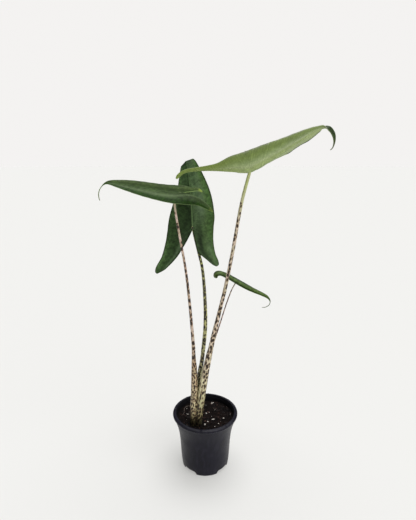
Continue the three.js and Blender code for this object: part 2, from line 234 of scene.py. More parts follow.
def vectorMaths(tree, operation, *vectors, **others):
    inputs = {**dict(enumerate(vectors)), **others}
    return addNode(tree, "VectorMath", inputs, operation=operation).outputs


def stretched(tree, vector, scale):
    return vectorMaths(tree, "MULTIPLY", vector, scale)[0]


def stretchedNoise(tree, vector, scales, *others):
    # noise with a scale of its own along each axis
    return noiseOf(tree, stretched(tree, vector, scales), 1.0, *others)


def scaled(tree, colour, factor):
    return vectorMaths(tree, "SCALE", colour, Scale=factor)[0]


def ownPlace(tree):
    return addNode(tree, "TexCoord").outputs["Object"]


def ownValue(tree, name):
    return addNode(tree, "Attribute", attribute_name=name).outputs["Fac"]


def ownVector(tree, name):
    return addNode(tree, "Attribute", attribute_name=name).outputs["Vector"]


def splitVector(tree, vector):
    return addNode(tree, "SeparateXYZ", {0: vector}).outputs


def colourRamp(tree, factor, stops):
    made = addNode(tree, "ValToRGB", {"Fac": factor})
    steps = made.color_ramp.elements
    while len(steps) < len(stops):
        steps.new(0.5)
    for step, (place, colour) in zip(steps, stops.items()):
        step.position = place
        step.color = (*colour, 1)
    return made.outputs["Color"]


def finishLook(material, colour, rough=None, relief=None, depth=0.0, strength=1.0):
    # the surface takes its colour, and its roughness and relief where it has them
    tree = material.node_tree
    sources = {"Base Color": colour, "Roughness": rough}
    if relief:
        bump = {"Height": relief, "Strength": strength, "Distance": depth}
        sources["Normal"] = addNode(tree, "Bump", bump).outputs["Normal"]
    for name, source in sources.items():
        if source:
            tree.links.new(source, tree.nodes["Principled BSDF"].inputs[name])
    return material


# leaf blades

# A table holds values by their place along a leaf: -1 at the lobe's end, 0 at the stalk and 1 at the tip.
# A plain number holds all along it. Sizes are millimetres and angles degrees, as in the part's own source.

def frontMargin(width):
    # a half's outline from beside the stalk to the tip
    shares = {0.12: 0.98, 0.35: 0.83, 0.6: 0.52, 0.76: 0.24, 0.86: 0.1}
    return {**{x: width * share for x, share in shares.items()}, 1: 0.7}


# A half's tone darkens or lightens it along the leaf. It is partly the leaf's own variation and partly
# painted light and shade: its dips are painted shade where a half turns away from the light.
leafLeft = {
    "base": (-33, -50, 520), "length": 150, "heading": 180,
    "rise": {-1: -4, 0: 5, 0.3: 9, 0.6: 8, 0.74: 4, 0.8: -30, 0.88: -62, 1: -112},
    "roll": {-1: -12, 0: -13, 0.6: -16, 0.8: -14, 1: 0},
    "halves": [{
        "side": 1, "lobe": 55.5, "wave": (0.8, 3, 0.6),
        "outer": {
            -1: 11, -0.93: 12.5, -0.7: 17.5, -0.4: 25, 0: 32, 0.12: 32.3, 0.35: 25, 0.6: 15.5, 0.76: 7.5,
            0.86: 3.4, 1: 0.7,
        },
        "inner": {-1: 10, -0.9: 6.5, -0.5: 1.5, 0: 0},
        "droop": {-1: 43, -0.5: 30, 0: 0},
        "lift": {-1: 4, 0.4: 4, 0.8: 0},
        "curl": {-1: -40, 0: -40, 0.35: -32, 0.7: -16, 1: 0},
        "tone": {-1: 0.85, -0.7: 0.8, -0.5: 0.7, -0.15: 0.72, 0: 0.85, 0.2: 1, 1: 1},
        "bloom": {-1: 0.6, -0.5: 0.85, 0: 0.95, 0.3: 0.95, 0.6: 0.75, 0.8: 0.3, 1: 0},
        "ridge": {
            -1: 0.08, -0.5: 0.12, -0.3: 0.16, 0: 0.38, 0.08: 0.5, 0.18: 0.56, 0.3: 0.57, 0.6: 0.5, 1: 0.4,
        },
        "ridgeWidth": 0.11,
        "yellow": {-1: 0.35, -0.93: 0.3, -0.82: 0, 1: 0},
    }, {
        "side": -1, "lobe": 27.5, "wave": (0.8, 3, 2),
        "outer": {-1: 22.5, -0.97: 24.6, -0.92: 27, -0.7: 32, -0.4: 34, 0: 35, **frontMargin(34)},
        "inner": {-1: 20.5, -0.97: 18.8, -0.9: 17, -0.5: 9, 0: 0},
        "droop": {-1: 42, -0.8: 18, -0.6: 4, 0: 0},
        "tone": {
            -1: 1.15, -0.3: 1.2, -0.05: 1.1, 0.08: 0.88, 0.2: 0.75, 0.35: 0.83, 0.6: 1, 0.8: 1.25, 1: 1.1,
        },
        "yellow": {-1: 0.9, -0.88: 0.85, -0.74: 0, 1: 0},
    }],
}

rightTip = {0.806: 4, 0.859: 3, 0.912: 1.6, 0.956: 0.8, 1: 0.5}

leafRight = {
    "base": (65, -55, 551), "length": 169,
    "rise": {
        -1: 56, -0.9: 32, -0.8: 8, -0.5: -1, -0.35: -3, -0.06: 2, 0.062: 27, 0.312: 32, 0.571: 32,
        0.696: 27, 0.748: 7, 0.784: -17, 0.819: -47, 0.868: -70, 0.921: -91, 0.965: -112, 1: -150,
    },
    "roll": {-1: 0, 0.727: 0, 0.774: 45, 0.815: 84, 1: 90},
    "halves": [{
        "side": 1, "lobe": 62, "wave": (1.2, 4, 1),
        "outer": {
            -1: 14, -0.9: 17, -0.6: 24, -0.3: 32, 0: 35, 0.125: 34.5, 0.312: 31, 0.363: 31.5, 0.426: 33,
            0.498: 29, 0.623: 24, 0.706: 17, 0.768: 8, **rightTip,
        },
        "inner": {-1: 12.5, -0.9: 10, -0.5: 6, 0: 0},
        "droop": {-1: -66, -0.9: -40, -0.8: -16, -0.6: -5, 0: 0},
        "lift": {
            -1: 8, 0: 2, 0.104: -3, 0.208: -1, 0.312: -3, 0.415: -10, 0.519: -14, 0.623: -19, 0.727: -14,
            1: 16,
        },
        "rim": {-1: 0, 0.374: 0, 0.415: 1, 0.727: 1, 0.788: 0, 1: 0},
    }, {
        "side": -1, "lobe": 109, "wave": (0.8, 3, 0),
        "outer": {
            -1: 7, -0.96: 9.5, -0.66: 10.5, -0.5: 13, -0.42: 17, -0.36: 22, -0.29: 28, -0.15: 34, 0: 36,
            0.125: 34, 0.363: 31, 0.519: 28, 0.623: 22, 0.706: 13, 0.768: 7, **rightTip,
        },
        "inner": {-1: 4, -0.96: 1.5, -0.5: 1.5, 0: 0},
        "lift": {-1: 10, -0.5: 22, 0: 35, 0.363: 20, 0.623: 14, 1: 10},
        "curl": {-1: 40, 0: 36, 0.623: 20, 1: 0},
        "tone": {-1: 0.9, -0.5: 0.84, -0.25: 0.92, 0: 1, 1: 1},
        "yellow": {-1: 0.75, -0.85: 0.6, -0.5: 0.5, -0.25: 0.2, 0: 0, 1: 0},
    }],
}

leafMiddle = {
    "base": (-22, 36, 449), "length": 180,
    "heading": {-1: 90, -0.15: 90, 0.1: 120, 0.45: 120, 0.65: 102, 1: 88},
    "rise": {-1: 72, -0.3: 76, 0: 84, 0.2: 83, 0.45: 77, 0.59: 60, 0.67: 32, 0.75: -14, 0.86: -60, 1: -82},
    "roll": {-1: 0, -0.15: 0, 0.1: -34, 0.4: -52, 0.6: -38, 0.75: -26, 1: -10},
    "halves": [{
        "side": 1, "lobe": 79, "wave": (1.2, 3, 0),
        "outer": {
            -1: 64.5, -0.96: 67, -0.85: 65.5, -0.62: 55, -0.3: 48.5, 0: 45, 0.12: 42, 0.35: 33.4, 0.6: 22.5,
            0.76: 11.5, 0.86: 4.5, 1: 0.7,
        },
        "inner": {-1: 63, -0.96: 56, -0.9: 48, -0.65: 28.5, -0.4: 16, -0.09: 3, 0: 0},
        "lift": {-1: 0, 0: 0, 0.4: -17, 0.62: -23, 1: -20},
        "curl": {-1: -10, 0: -8, 1: 0},
        "tone": {
            -1: 0.85, -0.8: 0.8, -0.5: 0.6, -0.2: 0.45, 0.28: 0.42, 0.4: 0.55, 0.48: 0.95, 0.62: 1,
            0.67: 0.85, 0.71: 0.5, 1: 0.6,
        },
        "bloom": {-1: 0.25, -0.75: 0.45, -0.4: 0.35, -0.15: 0.1, 0: 0, 1: 0},
        "ridge": 0.2, "ridgeWidth": 0.09,
        "rim": {-1: 0.1, 0: 0.2, 0.5: 0.6, 0.7: 0.9, 1: 1},
        "rimWidth": 0.09,
    }, {
        "side": -1, "lobe": 66, "wave": (1.2, 3, 2),
        "outer": {
            -1: 43.5, -0.96: 47, -0.85: 46.5, -0.65: 41, -0.3: 37, 0: 37.5, 0.12: 40, 0.35: 35, 0.6: 20.5,
            0.76: 9.6, 0.86: 4, 1: 0.7,
        },
        "inner": {-1: 42, -0.96: 36.5, -0.8: 23.5, -0.62: 10, -0.4: 5.5, -0.15: 2, 0: 0},
        "lift": {-1: 0, 0: 0, 0.4: -18, 0.62: -10, 1: -16},
        "curl": {-1: -10, 0: -8, 1: 0},
        "tone": {
            -1: 0.9, -0.7: 0.9, -0.3: 0.85, 0: 0.95, 0.3: 1.05, 0.5: 1.15, 0.62: 1.05, 0.67: 0.85,
            0.71: 0.45, 1: 0.6,
        },
        "bloom": {
            -1: 0.3, -0.6: 0.4, -0.2: 0.1, 0: 0.05, 0.12: 0.3, 0.22: 0.9, 0.35: 0.5, 0.5: 0.35, 0.6: 0.3,
            0.75: 0, 1: 0,
        },
        "ridge": {-1: 0.7, -0.2: 0.7, 0: 0.5, 0.2: 0.43, 0.6: 0.55, 1: 0.5},
        "rim": {-1: 0.1, -0.2: 0.2, 0.1: 0.8, 1: 1},
        "rimWidth": 0.12,
        "foldShade": {-1: 0.3, -0.7: 0.55, -0.3: 0.6, -0.08: 0.35, 0: 0, 1: 0},
    }],
}

leafSmall = {
    "base": (56, 30, 359), "length": 102.5,
    "rise": {
        -1: 104, -0.9: 80, -0.78: 36, -0.66: 0, -0.5: -22, -0.2: -33, 0: -31, 0.3: -27, 0.59: -31, 0.7: -56,
        0.8: -98, 0.89: -145, 1: -190,
    },
    "halves": [{
        "side": 1, "lobe": 54, "wave": (0.4, 3, 0),
        "outer": {-1: 6, -0.94: 8.5, -0.5: 11.5, 0: 12, **frontMargin(12)},
        "inner": {-1: 4.5, -0.94: 2, -0.5: 0.8, 0: 0},
        "lift": {-1: -26, -0.6: -22, -0.2: -5, 0.2: -7, 0.4: -10, 1: -10},
    }, {
        "side": -1, "lobe": 54, "wave": (0.4, 3, 2),
        "outer": {
            -1: 12, -0.94: 16, -0.8: 16.5, -0.6: 13.6, -0.4: 12.6, 0: 12.8, 0.12: 12.8, 0.35: 11.6,
            0.6: 9.2, 0.72: 6, 0.8: 2.5, 0.88: 1.2, 1: 0.7,
        },
        "inner": {-1: 4, -0.94: 1, -0.5: 0.8, 0: 0},
        "lift": -18, "curl": -14,
        "tone": {-1: 1.1, -0.6: 1.1, -0.3: 1, 0.15: 1, 0.4: 1.15, 0.7: 1.2, 0.85: 0.8, 1: 0.7},
        "yellow": {-1: 0.2, -0.85: 0.1, -0.6: 0, 0.2: 0, 0.5: 0.06, 0.8: 0.05, 0.9: 0, 1: 0},
    }],
}


leaves = {"left": leafLeft, "right": leafRight, "middle": leafMiddle, "small": leafSmall}

# what a leaf and its halves have where nothing else is said
plainLeaf = {"heading": 0, "roll": 0}
plainHalf = {
    "droop": 0, "lift": 0, "curl": 0, "tone": 1, "yellow": 0, "foldShade": 0,
    "bloom": 0, "ridge": 0, "ridgeWidth": 0.17, "rim": 0, "rimWidth": 0.24,
}

bladeForm = {
    "columns": 26,  # across each half
    "lobeRows": 62,
    "frontRows": 112,
    # how rows and columns crowd towards these, and the share of the lobe in which it ends for the midrib
    "crowding": {"lobe": 1.35, "tip": 1.45, "midrib": 0.3, "fade": 1 / 6},
    "steps": 240,  # of the line that a half follows, to either side of the stalk
    "thickness": 0.7,
    "ribDepth": 1.5,  # of the midrib under the blade
    "ribWidth": 1.9,
    "ribTaper": 0.6,
    "channel": 0.35,  # depth of the midrib's channel on top
    "channelWidth": 1.3,
    "costaPlace": 0.46,  # share of the lobe's width at which its rib runs
    "costaWidth": 0.8,  # as a share of the midrib's
    "costaFork": 0.12,  # share of the lobe in which it runs out to its place
    "costaFade": 0.06,  # and in which it thins to half
    "veinSpacing": 25,
    "veinSlant": 0.7,
    "quilt": 0.28,  # rise of the blade between its side veins
    "ripple": 0.12,  # of the margin
    "rippleTurn": 0.42,  # radians for each millimetre along it
    "fullRelief": 30,  # half width from which quilt and ripple are full
    "foldShadePlace": 0.27,  # share of a lobe's width at which painted shade marks the shadow of a fold
    "foldShadeWidth": 0.16,
}


def frameOf(heading, rise, roll):
    # forward along the midrib, aside to the leaf's left, and up out of its upper face
    turn, climb, lean = (radians(angle) for angle in (heading, rise, roll))
    flat = cos(climb)
    forward = Vector((flat * cos(turn), flat * sin(turn), sin(climb)))
    level = Vector((-sin(turn), cos(turn), 0))
    aside = Matrix.Rotation(lean, 3, forward) @ level
    return forward, aside, forward.cross(aside)


def spineOf(leaf, half):
    # the line that a half follows, as a function of x that gives a place and the directions there
    steps = bladeForm["steps"]

    def frameAt(x):
        droop = along(half["droop"], x) if x < 0 else 0
        return frameOf(along(leaf["heading"], x), along(leaf["rise"], x) + droop, along(leaf["roll"], x))

    def walk(direction, length):
        places = [Vector(leaf["base"])]
        for i in range(steps):
            forward = frameAt(direction * (i + 0.5) / steps)[0]
            places.append(places[-1] + forward * (direction * length / steps))
        return places

    back, front = walk(-1, half["lobe"]), walk(1, leaf["length"])

    def spine(x):
        places = back if x < 0 else front
        reach = abs(x) * steps
        k = min(int(reach), steps - 1)
        return places[k].lerp(places[k + 1], reach - k), *frameAt(x)[1:]

    return spine


def bladeRow(leaf, half, spine, x):
    # what all points of one row across a half share
    place, aside, up = spine(x)
    outer = along(half["outer"], x)
    reach = half["lobe"] if x < 0 else leaf["length"]
    size, waves, start = half["wave"]
    return {
        "x": x, "place": place, "aside": aside * half["side"], "up": up,
        "inner": along(half["inner"], x) if x < 0 else 0,
        "outer": outer,
        "start": radians(along(half["lift"], x)),
        "bend": radians(along(half["curl"], x)) / max(outer, 1),
        "wave": size * sin(start + waves * pi * x) * (1 - x ** 4),
        "a": x * reach,
        "end": (1 - abs(x)) * reach,
        **{key: along(half[key], x) for key in ("tone", "yellow", "foldShade", "bloom", "ridge", "rim")},
    }


def ribHeight(row, across):
    # the midrib in front, and the rib into the lobe behind
    x, form = row["x"], bladeForm
    if x >= 0:
        return hump(across, form["ribWidth"] * (1 - form["ribTaper"] * x)) * (1 - x) ** form["ribTaper"]
    share = form["costaPlace"] * (1 - exp(x / form["costaFork"]))
    line = row["inner"] + (row["outer"] - row["inner"]) * share
    fade = (1 + x) ** 0.5 * (0.5 + 0.5 * exp(x / form["costaFade"]))
    return hump(across - line, form["ribWidth"] * form["costaWidth"]) * fade


def bladePoint(row, v):
    form = bladeForm
    across = row["inner"] + (row["outer"] - row["inner"]) * v
    start, bend = row["start"], row["bend"]
    end = start + bend * across
    if abs(bend) < 1e-6:
        out, rise = across * cos(start), across * sin(start)
    else:
        out, rise = (sin(end) - sin(start)) / bend, (cos(start) - cos(end)) / bend
    share = across / max(row["outer"], 1)
    relief = min(row["outer"] / form["fullRelief"], 1)
    vein = (abs(row["a"]) - form["veinSlant"] * across) / form["veinSpacing"]
    rise += row["wave"] * share ** 2
    rise += form["quilt"] * relief * 2 * share * (1 - share) * (1 - cos(2 * pi * vein))
    rise += form["ripple"] * relief * share ** 6 * sin(row["a"] * form["rippleTurn"])
    if row["x"] >= 0:
        rise -= form["channel"] * hump(across, form["channelWidth"]) * (1 - row["x"])
    return row["place"] + row["aside"] * out + row["up"] * rise, across


def rowPlace(row):
    form = bladeForm
    crowding, lobeRows = form["crowding"], form["lobeRows"]
    if row < lobeRows:
        return (row / lobeRows) ** crowding["lobe"] - 1
    return 1 - (1 - (row - lobeRows) / form["frontRows"]) ** crowding["tip"]


def halfBlade(name, leaf, half):
    form, crowding = bladeForm, bladeForm["crowding"]
    sheet, spots = gridSheet(name, form["columns"], form["lobeRows"] + form["frontRows"])
    spine, side, rimWidth = spineOf(leaf, half), half["side"], half["rimWidth"]
    made, places, layers = {}, [], {}
    for vertex, (column, row) in zip(sheet.data.vertices, spots):
        if row not in made:
            made[row] = bladeRow(leaf, half, spine, rowPlace(row))
        line = made[row]
        x = line["x"]
        v = (column / form["columns"]) ** (1 + crowding["midrib"] * min(max(1 + x / crowding["fade"], 0), 1))
        point, across = bladePoint(line, v)
        vertex.co = point * mm
        places.append((line["a"] * mm, across * side * mm, x))
        edge = min(line["outer"] - across, line["end"])
        if x < 0:
            edge = min(edge, across - line["inner"])
        addValues(
            layers,
            share=v * side,
            # tone darkened by a painted shadow along a fold in the lobe
            tone=line["tone"] * (1 - line["foldShade"] * hump(v - form["foldShadePlace"], form["foldShadeWidth"])),
            # a painted highlight band across the half, round the place where its sheen falls
            bloom=line["bloom"] * hump(v - line["ridge"], half["ridgeWidth"]),
            yellow=line["yellow"],
            rim=line["rim"] * smoothStep(1 - rimWidth, 1 - 0.4 * rimWidth, v),
            edge=edge * mm,
            rib=ribHeight(line, across),
        )
    storeVectors(sheet, "leafPlace", places)
    storeLayers(sheet, layers)
    if side > 0:
        editMesh(sheet, (bpy.ops.mesh.flip_normals, {}))
    return sheet


def buildBlade(name, leaf, node, looks):
    form = bladeForm
    leaf = {**plainLeaf, **leaf}
    blade = joinPieces(name, [halfBlade(name, leaf, {**plainHalf, **half}) for half in leaf["halves"]])
    editMesh(blade, (bpy.ops.mesh.remove_doubles, {"threshold": 0.01 * mm}))
    deepest = form["thickness"] + form["ribDepth"]
    group = blade.vertex_groups.new(name="rib")
    for i, item in enumerate(blade.data.attributes["rib"].data):
        group.add([i], (form["thickness"] + form["ribDepth"] * item.value) / deepest, "REPLACE")
    for look in looks:
        blade.data.materials.append(look)
    applyModifier(
        blade, "SOLIDIFY", thickness=deepest * mm, offset=-1, vertex_group="rib",
        material_offset=1, material_offset_rim=1,
    )
    finishPiece(blade, [], node, smooth=50)


# Leaf materials. Colours run across the leaf, from -1 at the margin of its right half over the midrib
# to 1 at the margin of its left half, as seen from its base.

# These colours are partly the leaf's own greens and partly painted light and shade: dark bands where a half
# curls away from the light, paler bands where it faces it, and the pale band along the right leaf's
# underside is a painted sheen.
leafLooks = {
    "left": {
        "upper": {
            -1: (0.056, 0.084, 0.032), -0.6: (0.058, 0.088, 0.028), -0.3: (0.030, 0.054, 0.012),
            -0.1: (0.034, 0.060, 0.015), 0: (0.037, 0.066, 0.019), 0.3: (0.047, 0.077, 0.026),
            0.45: (0.048, 0.080, 0.025), 0.7: (0.036, 0.068, 0.020), 0.78: (0.018, 0.046, 0.007),
            0.9: (0.020, 0.054, 0.007), 1: (0.008, 0.025, 0.002),
        },
        "under": {-1: (0.15, 0.23, 0.07), 0: (0.19, 0.27, 0.09), 1: (0.15, 0.23, 0.07)},
        "bloom": (0.094, 0.138, 0.060), "rib": 0.1, "gloss": 0.04, "margin": 0.45,
    },
    "right": {
        "upper": {-1: (0.034, 0.055, 0.018), 1: (0.030, 0.052, 0.016)},
        "under": {
            -1: (0.323, 0.358, 0.242), -0.93: (0.188, 0.251, 0.078), -0.75: (0.167, 0.229, 0.058),
            -0.6: (0.19, 0.255, 0.082), -0.45: (0.247, 0.318, 0.133), -0.3: (0.323, 0.384, 0.188),
            -0.15: (0.267, 0.338, 0.127), 0: (0.323, 0.388, 0.168), 0.5: (0.30, 0.37, 0.155),
            1: (0.26, 0.33, 0.13),
        },
        "bloom": (0.1, 0.14, 0.07), "rib": 0.4, "gloss": 0.08, "margin": 0.5,
    },
    "middle": {
        "upper": {
            -1: (0.124, 0.19, 0.068), -0.9: (0.0555, 0.115, 0.030), -0.6: (0.064, 0.113, 0.036),
            -0.35: (0.048, 0.084, 0.032), -0.15: (0.0615, 0.1015, 0.043), -0.02: (0.048, 0.084, 0.032),
            0.04: (0.036, 0.068, 0.022), 0.1: (0.045, 0.085, 0.030), 0.6: (0.055, 0.105, 0.035),
            0.85: (0.085, 0.16, 0.052), 1: (0.11, 0.2, 0.07),
        },
        "under": {-1: (0.12, 0.20, 0.065), 0: (0.16, 0.24, 0.085), 1: (0.12, 0.20, 0.065)},
        "bloom": (0.137, 0.20, 0.110), "rib": 0.6, "gloss": 0.08, "margin": 0.9, "marginWidth": 0.0021,
        "marginColour": (0.012, 0.022, 0.005),
    },
    "small": {
        "upper": {
            -1: (0.008, 0.017, 0.002), -0.78: (0.014, 0.028, 0.004), -0.62: (0.034, 0.060, 0.014),
            -0.44: (0.066, 0.104, 0.030), -0.25: (0.080, 0.118, 0.040), -0.1: (0.050, 0.080, 0.026),
            0: (0.016, 0.030, 0.008), 0.5: (0.026, 0.046, 0.014), 1: (0.016, 0.030, 0.007),
        },
        "under": {-1: (0.14, 0.22, 0.075), 0: (0.18, 0.26, 0.09), 1: (0.14, 0.22, 0.075)},
        "bloom": (0.1, 0.14, 0.07), "rib": 0.5, "gloss": 0.06, "margin": 0.0,
    },
}

leafPattern = {
    "spacing": 0.025,  # between side veins
    "slant": 0.7,
    "wander": 0.006,
    "fineSpacing": 0.0048,
    "drift": 0.16,  # how far the mottling moves the colours across a leaf
    "bump": 0.0004,
    # scale, detail and roughness
    "broad": (22.0, 3.0), "mottle": (160.0, 5.0, 0.7), "grain": (420.0, 4.0, 0.6),
    "marginWidth": 0.0012,
    "marginColour": (0.13, 0.20, 0.07),
    "ribPale": (0.13, 0.21, 0.085),
    "endYellow": (0.22, 0.30, 0.055),
    "rimDark": (0.034, 0.056, 0.018),
    "tipBrown": (0.14, 0.13, 0.06),
}

# a vein's width, how the mottling darkens and lightens, roughness, and relief of side veins and finer ones
leafFaces = {
    "upper": {"vein": 0.0011, "mottling": (0.66, 1.34), "rough": (0.34, 0.48), "relief": (-0.8, 0.3)},
    "under": {
        "vein": 0.0016, "mottling": (0.9, 1.1), "rough": (0.46, 0.62), "relief": (0.8, -0.3), "gloss": 0.2,
    },
}


def veinLines(tree, spread):
    # dark lines where side veins run, and finer ones between them
    pattern = leafPattern
    place = ownVector(tree, "leafPlace")
    a, b, x = splitVector(tree, place)
    wander = times(tree, noiseOf(tree, place, 60.0, 2.0), pattern["wander"])
    slanted = times(tree, maths(tree, "ABSOLUTE", b), pattern["slant"])
    line = maths(tree, "ADD", maths(tree, "SUBTRACT", maths(tree, "ABSOLUTE", a), slanted), wander)
    line = maths(tree, "ADD", line, 1.0)
    main = ranged(tree, maths(tree, "PINGPONG", line, pattern["spacing"] / 2), 0.0, spread, 1.0, 0.0)
    half = pattern["fineSpacing"] / 2
    return x, main, maths(tree, "DIVIDE", maths(tree, "PINGPONG", line, half), half)


def leafMaterial(name, look, face):
    pattern, lie = {**leafPattern, **look}, leafFaces[face]
    material, tree = newMaterial(name, Specular_IOR_Level=lie.get("gloss", look["gloss"]))
    x, main, fine = veinLines(tree, lie["vein"])
    spot = ownPlace(tree)
    broad, mottle, grain = (noiseOf(tree, spot, *pattern[key]) for key in ("broad", "mottle", "grain"))
    drift = pattern["drift"]
    share = maths(tree, "SUBTRACT", ownValue(tree, "share"), drift / 2)
    share = maths(tree, "MULTIPLY_ADD", mottle, drift, share)
    stops = {0.5 + 0.5 * where: colour for where, colour in look[face].items()}
    # the colour across the leaf, its own greens mixed with painted shade and painted sheen
    colour = colourRamp(tree, maths(tree, "MULTIPLY_ADD", share, 0.5, 0.5), stops)
    # the stored tone carries painted shade by place along the leaf; the noise factors are the leaf's own
    # mottling
    tone = times(
        tree, ownValue(tree, "tone"),
        ranged(tree, broad, 0.3, 0.7, 0.9, 1.1),
        ranged(tree, mottle, 0.36, 0.64, *lie["mottling"]),
        ranged(tree, fine, 0.0, 1.0, 0.94, 1.04),
        ranged(tree, main, 0.0, 1.0, 1.0, 1.18),
    )
    colour = scaled(tree, colour, tone)
    layers = [(ownValue(tree, "rib"), 0.5, 0.95, 0.0, look["rib"], pattern["ribPale"])]
    if face == "upper":
        # a pale band painted on the upper face as a painted highlight, where a curved half would catch the
        # top light
        bloom = times(tree, ownValue(tree, "bloom"), ranged(tree, mottle, 0.3, 0.6, 0.7, 1.0))
        colour = mixed(tree, bloom, colour, look["bloom"])
        width = pattern["marginWidth"]
        edge = ownValue(tree, "edge")
        layers.append((edge, 0.25 * width, width, look["margin"], 0.0, pattern["marginColour"]))
    colour = layered(tree, colour, *layers)
    for value, over in (("rim", "rimDark"), ("yellow", "endYellow")):
        colour = mixed(tree, ownValue(tree, value), colour, pattern[over])
    colour = layered(tree, colour, (x, 0.86, 1.0, 0.0, 0.5, pattern["tipBrown"]))
    colour = scaled(tree, colour, ranged(tree, grain, 0.6, 0.74, 1.0, 1.4))  # pale flecks
    rough = ranged(tree, broad, 0.25, 0.75, *lie["rough"])
    mainRelief, fineRelief = lie["relief"]
    relief = maths(tree, "MULTIPLY_ADD", fine, fineRelief, times(tree, main, mainRelief))
    relief = maths(tree, "MULTIPLY_ADD", grain, 0.12, relief)
    return finishLook(material, colour, rough, relief, depth=pattern["bump"])


for leafName, leaf in leaves.items():
    looks = [leafMaterial(leafName + face.title() + "Face", leafLooks[leafName], face) for face in leafFaces]
    buildBlade(leafName + "Blade", leaf, "blade_" + leafName, looks)
print("blades done")


# leaf stalks

# The path is where the stalk runs and the width is a table by height, in millimetres. The sheath opens
# towards its open angle, from the soil up to its top.

stalks = {
    "left": {
        "path": [
            (-21, -21, 80), (-21, -21.5, 104), (-19.3, -25, 170), (-19.3, -29, 236), (-22.4, -33, 295),
            (-30.5, -39.5, 391), (-42, -45.5, 468), (-46, -48, 502), (-45, -49, 511), (-36.5, -50, 520.5),
        ],
        "width": {
            80: 13.8, 110: 13.8, 170: 11.8, 200: 10.6, 216: 9.4, 240: 7.2, 262: 5.9, 290: 5.1, 340: 4.6,
            400: 4, 520: 3.1,
        },
        "core": 5.8, "sheathTop": 250, "open": 20,
    },
    "middle": {
        "path": [
            (-15, -14, 80), (-14.5, -14, 104), (-12, -9, 170), (-4.5, -1.5, 225), (0.4, 8, 275),
            (0, 18, 319), (-5, 29, 379), (-12, 37, 408), (-19, 41.5, 436), (-22.5, 37, 454),
        ],
        "width": {
            80: 13, 110: 13, 170: 10, 202: 8.4, 234: 7.4, 264: 7, 292: 6.8, 318: 6.2, 346: 5.8, 400: 5,
            450: 4.3,
        },
        "core": 6.6, "sheathTop": 230, "open": 150,
    },
    "right": {
        "path": [
            (-13, -23, 80), (-12.6, -23, 104), (-5.4, -25.3, 162), (6.3, -30, 234), (20.5, -35, 303),
            (33.3, -39, 362), (44.4, -44, 425), (57, -50, 505), (68, -55, 552.5),
        ],
        "width": {
            80: 14, 110: 14, 165: 13.4, 216: 11.8, 240: 10.4, 262: 9, 280: 7.9, 300: 7.1, 340: 6.3,
            380: 5.9, 552: 4.8,
        },
        "core": 8, "sheathTop": 270, "open": 200,
        # pale patches on the sheath: place, half width and half height
        "patches": [
            ((-6.5, -30, 191), 4.4, 7.5), ((-9.8, -30, 173.5), 3.8, 6.5), ((-11.8, -30, 161), 3, 7.5),
            ((-14, -29, 147), 2.2, 5),
        ],
    },
    "small": {
        "path": [
            (-9, -14, 80), (-8.6, -14, 104), (-3, -8, 160), (10, 3.5, 225), (25.4, 14, 273), (41, 24, 320),
            (49, 28, 340), (54, 29.5, 349), (58.5, 30, 356),
        ],
        "width": {80: 6, 110: 6, 200: 3.6, 240: 2.6, 350: 2},
        "core": 3, "sheathTop": 190, "open": 120,
    },
}

stalkForm = {
    "sides": 56, "steps": 300,
    "tip": 3,  # length of the rounded end
    "parting": 45,  # height over which the sheath's two edges part
    # angles: half the seam between the edges, what it opens by, and the fall of an edge to the core
    "seam": 3, "opening": 130, "sheathEdge": 10,
    "seamFill": 0.86,  # share of the sheath's depth that stays in the seam
    "marginPlace": 8, "marginWidth": 12,  # angles, from the sheath's edge
    "patchRoom": 6,  # how far behind its place a patch still shows
    "patchFade": (1.15, 0.75),  # shares of its size between which it fades in
}


def smoothPath(points, steps):
    # evenly spaced places on a curve through the points
    points = [Vector(point) for point in points]
    points = [points[0] * 2 - points[1], *points, points[-1] * 2 - points[-2]]
    dense = []
    for p0, p1, p2, p3 in zip(points, points[1:], points[2:], points[3:]):
        d0, d1, d2 = ((b - a).length ** 0.5 for a, b in ((p0, p1), (p1, p2), (p2, p3)))
        t1 = ((p1 - p0) / d0 - (p2 - p0) / (d0 + d1) + (p2 - p1) / d1) * d1
        t2 = ((p2 - p1) / d1 - (p3 - p1) / (d1 + d2) + (p3 - p2) / d2) * d1
        for k in range(30):
            f = k / 30
            start, end = 2 * f ** 3 - 3 * f ** 2 + 1, 3 * f ** 2 - 2 * f ** 3
            dense.append(p1 * start + p2 * end + t1 * (f ** 3 - 2 * f ** 2 + f) + t2 * (f ** 3 - f ** 2))
    dense.append(points[-2])
    reach = [0]
    for a, b in zip(dense, dense[1:]):
        reach.append(reach[-1] + (b - a).length)
    places, k = [], 0
    for i in range(steps + 1):
        wanted = reach[-1] * i / steps
        while k < len(dense) - 2 and reach[k + 1] < wanted:
            k += 1
        f = (wanted - reach[k]) / (reach[k + 1] - reach[k])
        places.append(dense[k].lerp(dense[k + 1], min(f, 1)))
    return places, reach[-1]


def runAt(places, row):
    # the direction of a path at one of its places
    return (places[min(row + 1, len(places) - 1)] - places[max(row - 1, 0)]).normalized()


def patchAt(point, stalk):
    # 1 inside a pale diamond patch on the front of the sheath, 0 outside
    found = 0
    for place, halfWidth, halfHeight in stalk.get("patches", []):
        if point.y < place[1] + stalkForm["patchRoom"]:
            away = abs(point.x - place[0]) / halfWidth + abs(point.z - place[2]) / halfHeight
            found = max(found, smoothStep(*stalkForm["patchFade"], away))
    return found


def sheathAt(stalk, centre, around):
    # the radius on one side of the stalk, and how near that side is to the sheath's margin
    form, top = stalkForm, stalk["sheathTop"]
    radius = along(stalk["width"], centre.z) / 2
    if centre.z >= top:
        return radius, 0
    core = min(radius, stalk["core"] / 2)
    gone = smoothStep(top - form["parting"], top, centre.z)
    gap = radians(form["seam"] + form["opening"] * gone ** 1.5)
    angle = atan2(around.y, around.x) - radians(stalk["open"])
    beyond = abs(atan2(sin(angle), cos(angle))) - gap
    wrapped = smoothStep(0, radians(form["sheathEdge"]), beyond)
    radius = core + (radius - core) * max(wrapped, form["seamFill"] * (1 - gone))
    return radius, hump(beyond - radians(form["marginPlace"]), radians(form["marginWidth"]))


